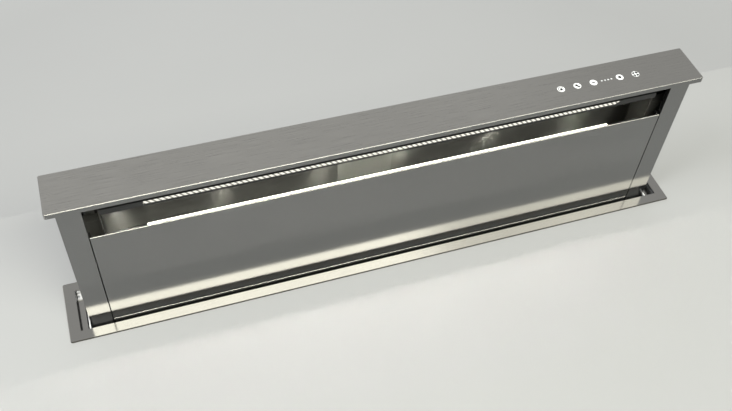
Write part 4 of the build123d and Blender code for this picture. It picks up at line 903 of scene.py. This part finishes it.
class VENT_OT_lift_drive(bpy.types.Operator):
    """Finish the racks, gears, shafts, motors, bushes, shoes, cap pads and brackets"""

    bl_idname = "vent.lift_drive"
    bl_label = "Lift Drive"

    def execute(self, context):
        acetal = moulded_plastic("moulded_acetal_gear", linear("#E6E3D8"), 0.34, 0.0008, 0.1)
        dress(acetal, "gear_racks", "rack_pinions", "drive_gear")
        nylon = moulded_plastic("moulded_nylon_white", linear("#FBFBF9"), 0.42, 0.0007, 0.15)
        dress(nylon, "glide_shoes", "cap_pads")
        ground = ground_steel("ground_shaft_steel", linear("#BEBFC0"))
        dress(ground, "drive_shaft", "motor_gear", "fan_shaft")
        dress(sintered_bronze("sintered_bronze_bush", linear("#B08D57")), "shaft_bushes")
        enamel = motor_enamel("stoved_motor_enamel", linear("#4A4B4D"))
        dress(enamel, "lift_motor", "fan_motor")
        bracket = galvanised_sheet("galvanised_bracket", linear("#BCC0C3"))
        dress(bracket, "lifting_beam", "motor_bracket")
        return {"FINISHED"}


class VENT_OT_casing(bpy.types.Operator):
    """Finish the casing, its clamps, feet, stops and switches, and the pins"""

    bl_idname = "vent.casing"
    bl_label = "Casing"

    def execute(self, context):
        zinc = context.scene.vent_steel.galvanised[:]
        sheet = galvanised_sheet("galvanised_casing_sheet", zinc)
        dress(sheet, "casing_front", "casing_back", "casing_end_left", "casing_end_right",
              "casing_floor", "stop_brackets", "worktop_clamps", "floor_feet")
        rubber = moulded_rubber("nitrile_rubber_buffer", linear("#26262A"))
        dress(rubber, "stop_buffers", "motor_isolators")
        switch = moulded_plastic("moulded_switch_housing", linear("#2B2B2E"), 0.4)
        dress(switch, "limit_switches")
        plate = zinc_plate("zinc_plated_fixing", linear("#C6C9CC"))
        dress(plate, "clamp_screws", "flap_pin", "hook_pins")
        return {"FINISHED"}


class VENT_OT_casing_fixings(bpy.types.Operator):
    """Grow the cross-recessed screw heads of the casing, pads, electronics lid and fan motor"""

    bl_idname = "vent.casing_fixings"
    bl_label = "Casing Fixings"

    def execute(self, context):
        fixing = context.scene.vent_fixing
        tree = fixing_tree("pan_head_fixing")
        values = {
            "Radius": fixing.head_radius, "Height": fixing.head_height, "Recess": fixing.recess,
            "Finish": bpy.data.materials["zinc_plated_fixing"],
        }
        small = dict(values, Radius=0.0019, Height=0.0008)
        large = dict(values, Radius=0.0042, Height=0.0028)

        def screws(name, points, values):
            mesh = grow(name, points, tree, values)
            return new_piece(name, mesh, "casing")

        end_low, end_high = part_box("casing_end_left")
        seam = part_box("casing_end_right")[0].x - 0.0048
        lowest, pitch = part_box("casing_floor")[0].z + 0.030, 0.140
        rows = [lowest + pitch * n for n in range(5)]
        points = []
        for y, facing in ((end_low.y, -1), (end_high.y, 1)):
            points += [((way * seam, y, z), (0, facing, 0)) for way in (-1, 1) for z in rows]
        foot_low, foot_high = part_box("floor_feet")
        middle, apart, thick = foot_high.x - 0.030, 0.018, 0.002
        level = foot_low.z + 0.04867
        for x in [way * middle + step for way in (-1, 1) for step in (-apart, apart)]:
            points.append(((x, end_high.y + thick, level), (0, 1, 0)))
        heads = screws("casing_screw_heads", points, values)
        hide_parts("casing_screws")

        pad_low, pad_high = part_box("cap_pads")
        x, y, z = pad_high.x - 0.0054, (pad_low.y + pad_high.y) / 2, pad_high.z - 0.0009
        pads = [((way * x, y, z), (0, 0, 1)) for way in (-1, 1)]
        screws("pad_screw_heads", pads, small)

        lid_low, lid_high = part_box("electronics_lid")
        inset = 0.010
        across = (lid_low.x + inset, lid_high.x - inset)
        upright = (lid_low.z + inset, lid_high.z - inset)
        lids = [((x, lid_low.y, z), (0, -1, 0)) for x in across for z in upright]
        screws("lid_screw_heads", lids, values)

        motor_low, motor_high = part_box("fan_motor")
        centre_x, centre_z = (motor_low.x + motor_high.x) / 2, (motor_low.z + motor_high.z) / 2
        face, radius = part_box("motor_isolators")[0].y - 0.002, 0.054
        nuts = []
        for turn in (90, 210, 330):
            angle = math.radians(turn)
            x, z = centre_x + radius * math.cos(angle), centre_z + radius * math.sin(angle)
            nuts.append(((x, face, z), (0, -1, 0)))
        screws("motor_screw_heads", nuts, large)
        return {"FINISHED"}


class VENT_OT_blower(bpy.types.Operator):
    """Finish the scroll, inlet plate and impeller"""

    bl_idname = "vent.blower"
    bl_label = "Blower"

    def execute(self, context):
        scroll = galvanised_sheet("galvanised_scroll", linear("#BFC4C7"))
        dress(scroll, "scroll_housing", "inlet_plate")
        glassy = moulded_plastic(
            "glass_filled_polypropylene", linear("#2E2F31"), 0.5, 0.0009, 0.25
        )
        dress(glassy, "impeller")
        return {"FINISHED"}


class VENT_OT_duct_collar(bpy.types.Operator):
    """Finish the duct collar and its two flaps"""

    bl_idname = "vent.duct_collar"
    bl_label = "Duct Collar"

    def execute(self, context):
        collar = moulded_plastic(
            "moulded_polypropylene_collar", linear("#303133"), 0.46, 0.0008, 0.2
        )
        dress(collar, "duct_collar")
        flap = rolled_aluminium("rolled_aluminium_flap", linear("#CDD0D3"))
        dress(flap, "damper_flap_rear", "damper_flap_front")
        return {"FINISHED"}


class VENT_OT_electronics(bpy.types.Operator):
    """Finish the electronics box, its lid and the cable gland"""

    bl_idname = "vent.electronics"
    bl_label = "Electronics"

    def execute(self, context):
        box = moulded_plastic("moulded_abs_box", linear("#37383A"), 0.48, 0.0007, 0.25)
        dress(box, "electronics_box", "electronics_lid")
        gland = moulded_plastic("moulded_nylon_gland", linear("#232325"), 0.4, 0.0007, 0.12)
        dress(gland, "cable_gland")
        return {"FINISHED"}


class VENT_OT_stage(bpy.types.Operator):
    """Set the plain floor, the soft lamps, the surround and the camera"""

    bl_idname = "vent.stage"
    bl_label = "Stage"

    def execute(self, context):
        scene, stage = context.scene, context.scene.vent_stage
        colour = stage.floor[:]
        paint = studio_paint("matt_studio_paint", colour)
        lower_paint = studio_paint("matt_lower_floor_paint", shade(colour, 1.12), 1.8)
        ground_level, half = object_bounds()[0].z - 0.0005, 14

        def ground(bm):
            for x, y in rectangle(-half, half, -half, half):
                bm.verts.new((x, y, ground_level))
            bm.faces.new(bm.verts)

        # the floor at worktop level is cut out round the casing and just fills the main view
        outer = rectangle(-0.66, 0.80, -0.46, 0.20)
        hole = rectangle(-0.4585, 0.4585, -0.040, 0.040)
        levels = (-0.0004, -0.0034)

        def raised(bm):
            loops = [(loop, z) for z in levels for loop in (outer, hole)]
            rings = [[bm.verts.new((x, y, z)) for x, y in loop] for loop, z in loops]
            for n in range(4):
                m = (n + 1) % 4
                bm.faces.new((rings[0][n], rings[0][m], rings[1][m], rings[1][n]))
                bm.faces.new((rings[2][m], rings[2][n], rings[3][n], rings[3][m]))
                bm.faces.new((rings[0][m], rings[0][n], rings[2][n], rings[2][m]))
                bm.faces.new((rings[1][n], rings[1][m], rings[3][m], rings[3][n]))

        floors = (("floor", ground, lower_paint), ("floor_at_worktop", raised, paint))
        for name, build, coat in floors:
            mesh = mesh_from(name, build)
            mesh.materials.append(coat)
            piece = bpy.data.objects.new(name, mesh)
            scene.collection.objects.link(piece)
            piece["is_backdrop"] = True

        world = bpy.data.worlds.new("soft_surround")
        scene.world = world
        world.use_nodes = True
        world.node_tree.nodes.clear()
        values = {"Color": stage.surround[:], "Strength": stage.surround_strength}
        surround = add_node(world.node_tree, "ShaderNodeBackground", inputs=values)
        result = {"Surface": surround.outputs[0]}
        add_node(world.node_tree, "ShaderNodeOutputWorld", inputs=result)

        # the key and side lamps stand over and behind the camera, where the polished bevels and
        # the corner between panel and flange send its view. Each lamp has a name, a place, a
        # target, a width, a depth, a share of the lamp power and a colour
        lamps = (
            ("key_lamp", (0.0, -1.79, 2.60), (0.0, 0.0, 0.0), 2.1, 1.0, 1.0, "#FFFEF0"),
            ("side_lamp", (1.85, -1.79, 2.60), (1.85, 0.0, 0.0), 1.6, 1.0, 0.40, "#FFFEF0"),
            ("left_lamp", (-1.5, -0.3, 2.2), (0.0, 0.0, 0.05), 1.0, 1.0, 0.45, "#FCFDFF"),
            ("back_lamp", (0.2, 2.4, 0.8), (0.0, 0.0, 0.05), 2.6, 1.0, 0.22, "#FFFFFF"),
        )
        for name, place, target, width, depth, share, tint in lamps:
            data = bpy.data.lights.new(name, "AREA")
            data.shape = "RECTANGLE"
            data.size, data.size_y = width, depth
            data.energy = stage.lamp_power * share
            data.color = linear(tint)[:3]
            lamp = bpy.data.objects.new(name, data)
            lamp.location = place
            line = Vector(target) - Vector(place)
            lamp.rotation_euler = line.to_track_quat("-Z", "Y").to_euler()
            scene.collection.objects.link(lamp)

        # the camera stands where the photograph was taken from
        eye, aim = Vector((-0.34044, -0.78005, 1.10908)), Vector((-0.03385, -0.00717, 0.102))
        forward = (aim - eye).normalized()
        right = forward.cross(Vector((0, 0, 1))).normalized()
        up = right.cross(forward)
        turn, lean = math.cos(stage.camera_roll), math.sin(stage.camera_roll)
        across, upright = right * turn + up * lean, up * turn - right * lean
        data = bpy.data.cameras.new("camera")
        data.lens, data.sensor_width, data.sensor_fit = stage.focal_length, 36.0, "HORIZONTAL"
        data.clip_start = 0.01
        camera = bpy.data.objects.new("camera", data)
        pose = Matrix((across, upright, -forward)).transposed().to_4x4()
        pose.translation = eye
        camera.matrix_world = pose
        scene.collection.objects.link(camera)
        scene.camera = camera
        scene.view_settings.view_transform = "Standard"
        return {"FINISHED"}


class VENT_PT_sidebar(bpy.types.Panel):
    """The vent's settings and its operators, in the order they are run"""

    bl_idname = "VENT_PT_sidebar"
    bl_label = "Downdraft Vent"
    bl_space_type = "VIEW_3D"
    bl_region_type = "UI"
    bl_category = "Vent"

    def draw(self, context):
        layout = self.layout
        for name, group in SETTINGS.items():
            box = layout.box()
            box.label(text=group.__doc__)
            settings = getattr(context.scene, name)
            for prop in group.__annotations__:
                box.prop(settings, prop)
        for operator in OPERATORS:
            layout.operator(operator.bl_idname)


SETTINGS = {
    "vent_steel": VentSteelSettings,
    "vent_light": VentLightSettings,
    "vent_fixing": VentFixingSettings,
    "vent_stage": VentStageSettings,
}
OPERATORS = (
    VENT_OT_tower_sheet,
    VENT_OT_thin_trim,
    VENT_OT_air_chamber,
    VENT_OT_light_bars,
    VENT_OT_touch_keys,
    VENT_OT_lift_drive,
    VENT_OT_casing,
    VENT_OT_casing_fixings,
    VENT_OT_blower,
    VENT_OT_duct_collar,
    VENT_OT_electronics,
    VENT_OT_stage,
)


def register():
    """Registers the settings, the operators and the panel."""
    for group in (*SETTINGS.values(), *OPERATORS, VENT_PT_sidebar):
        bpy.utils.register_class(group)
    for name, group in SETTINGS.items():
        setattr(bpy.types.Scene, name, bpy.props.PointerProperty(type=group))


def unregister():
    """Takes them all away again."""
    for name in SETTINGS:
        delattr(bpy.types.Scene, name)
    for group in reversed((*SETTINGS.values(), *OPERATORS, VENT_PT_sidebar)):
        bpy.utils.unregister_class(group)


def main():
    register()
    for operator in OPERATORS:
        family, name = operator.bl_idname.split(".")
        getattr(getattr(bpy.ops, family), name)()


if __name__ == "__main__":
    main()
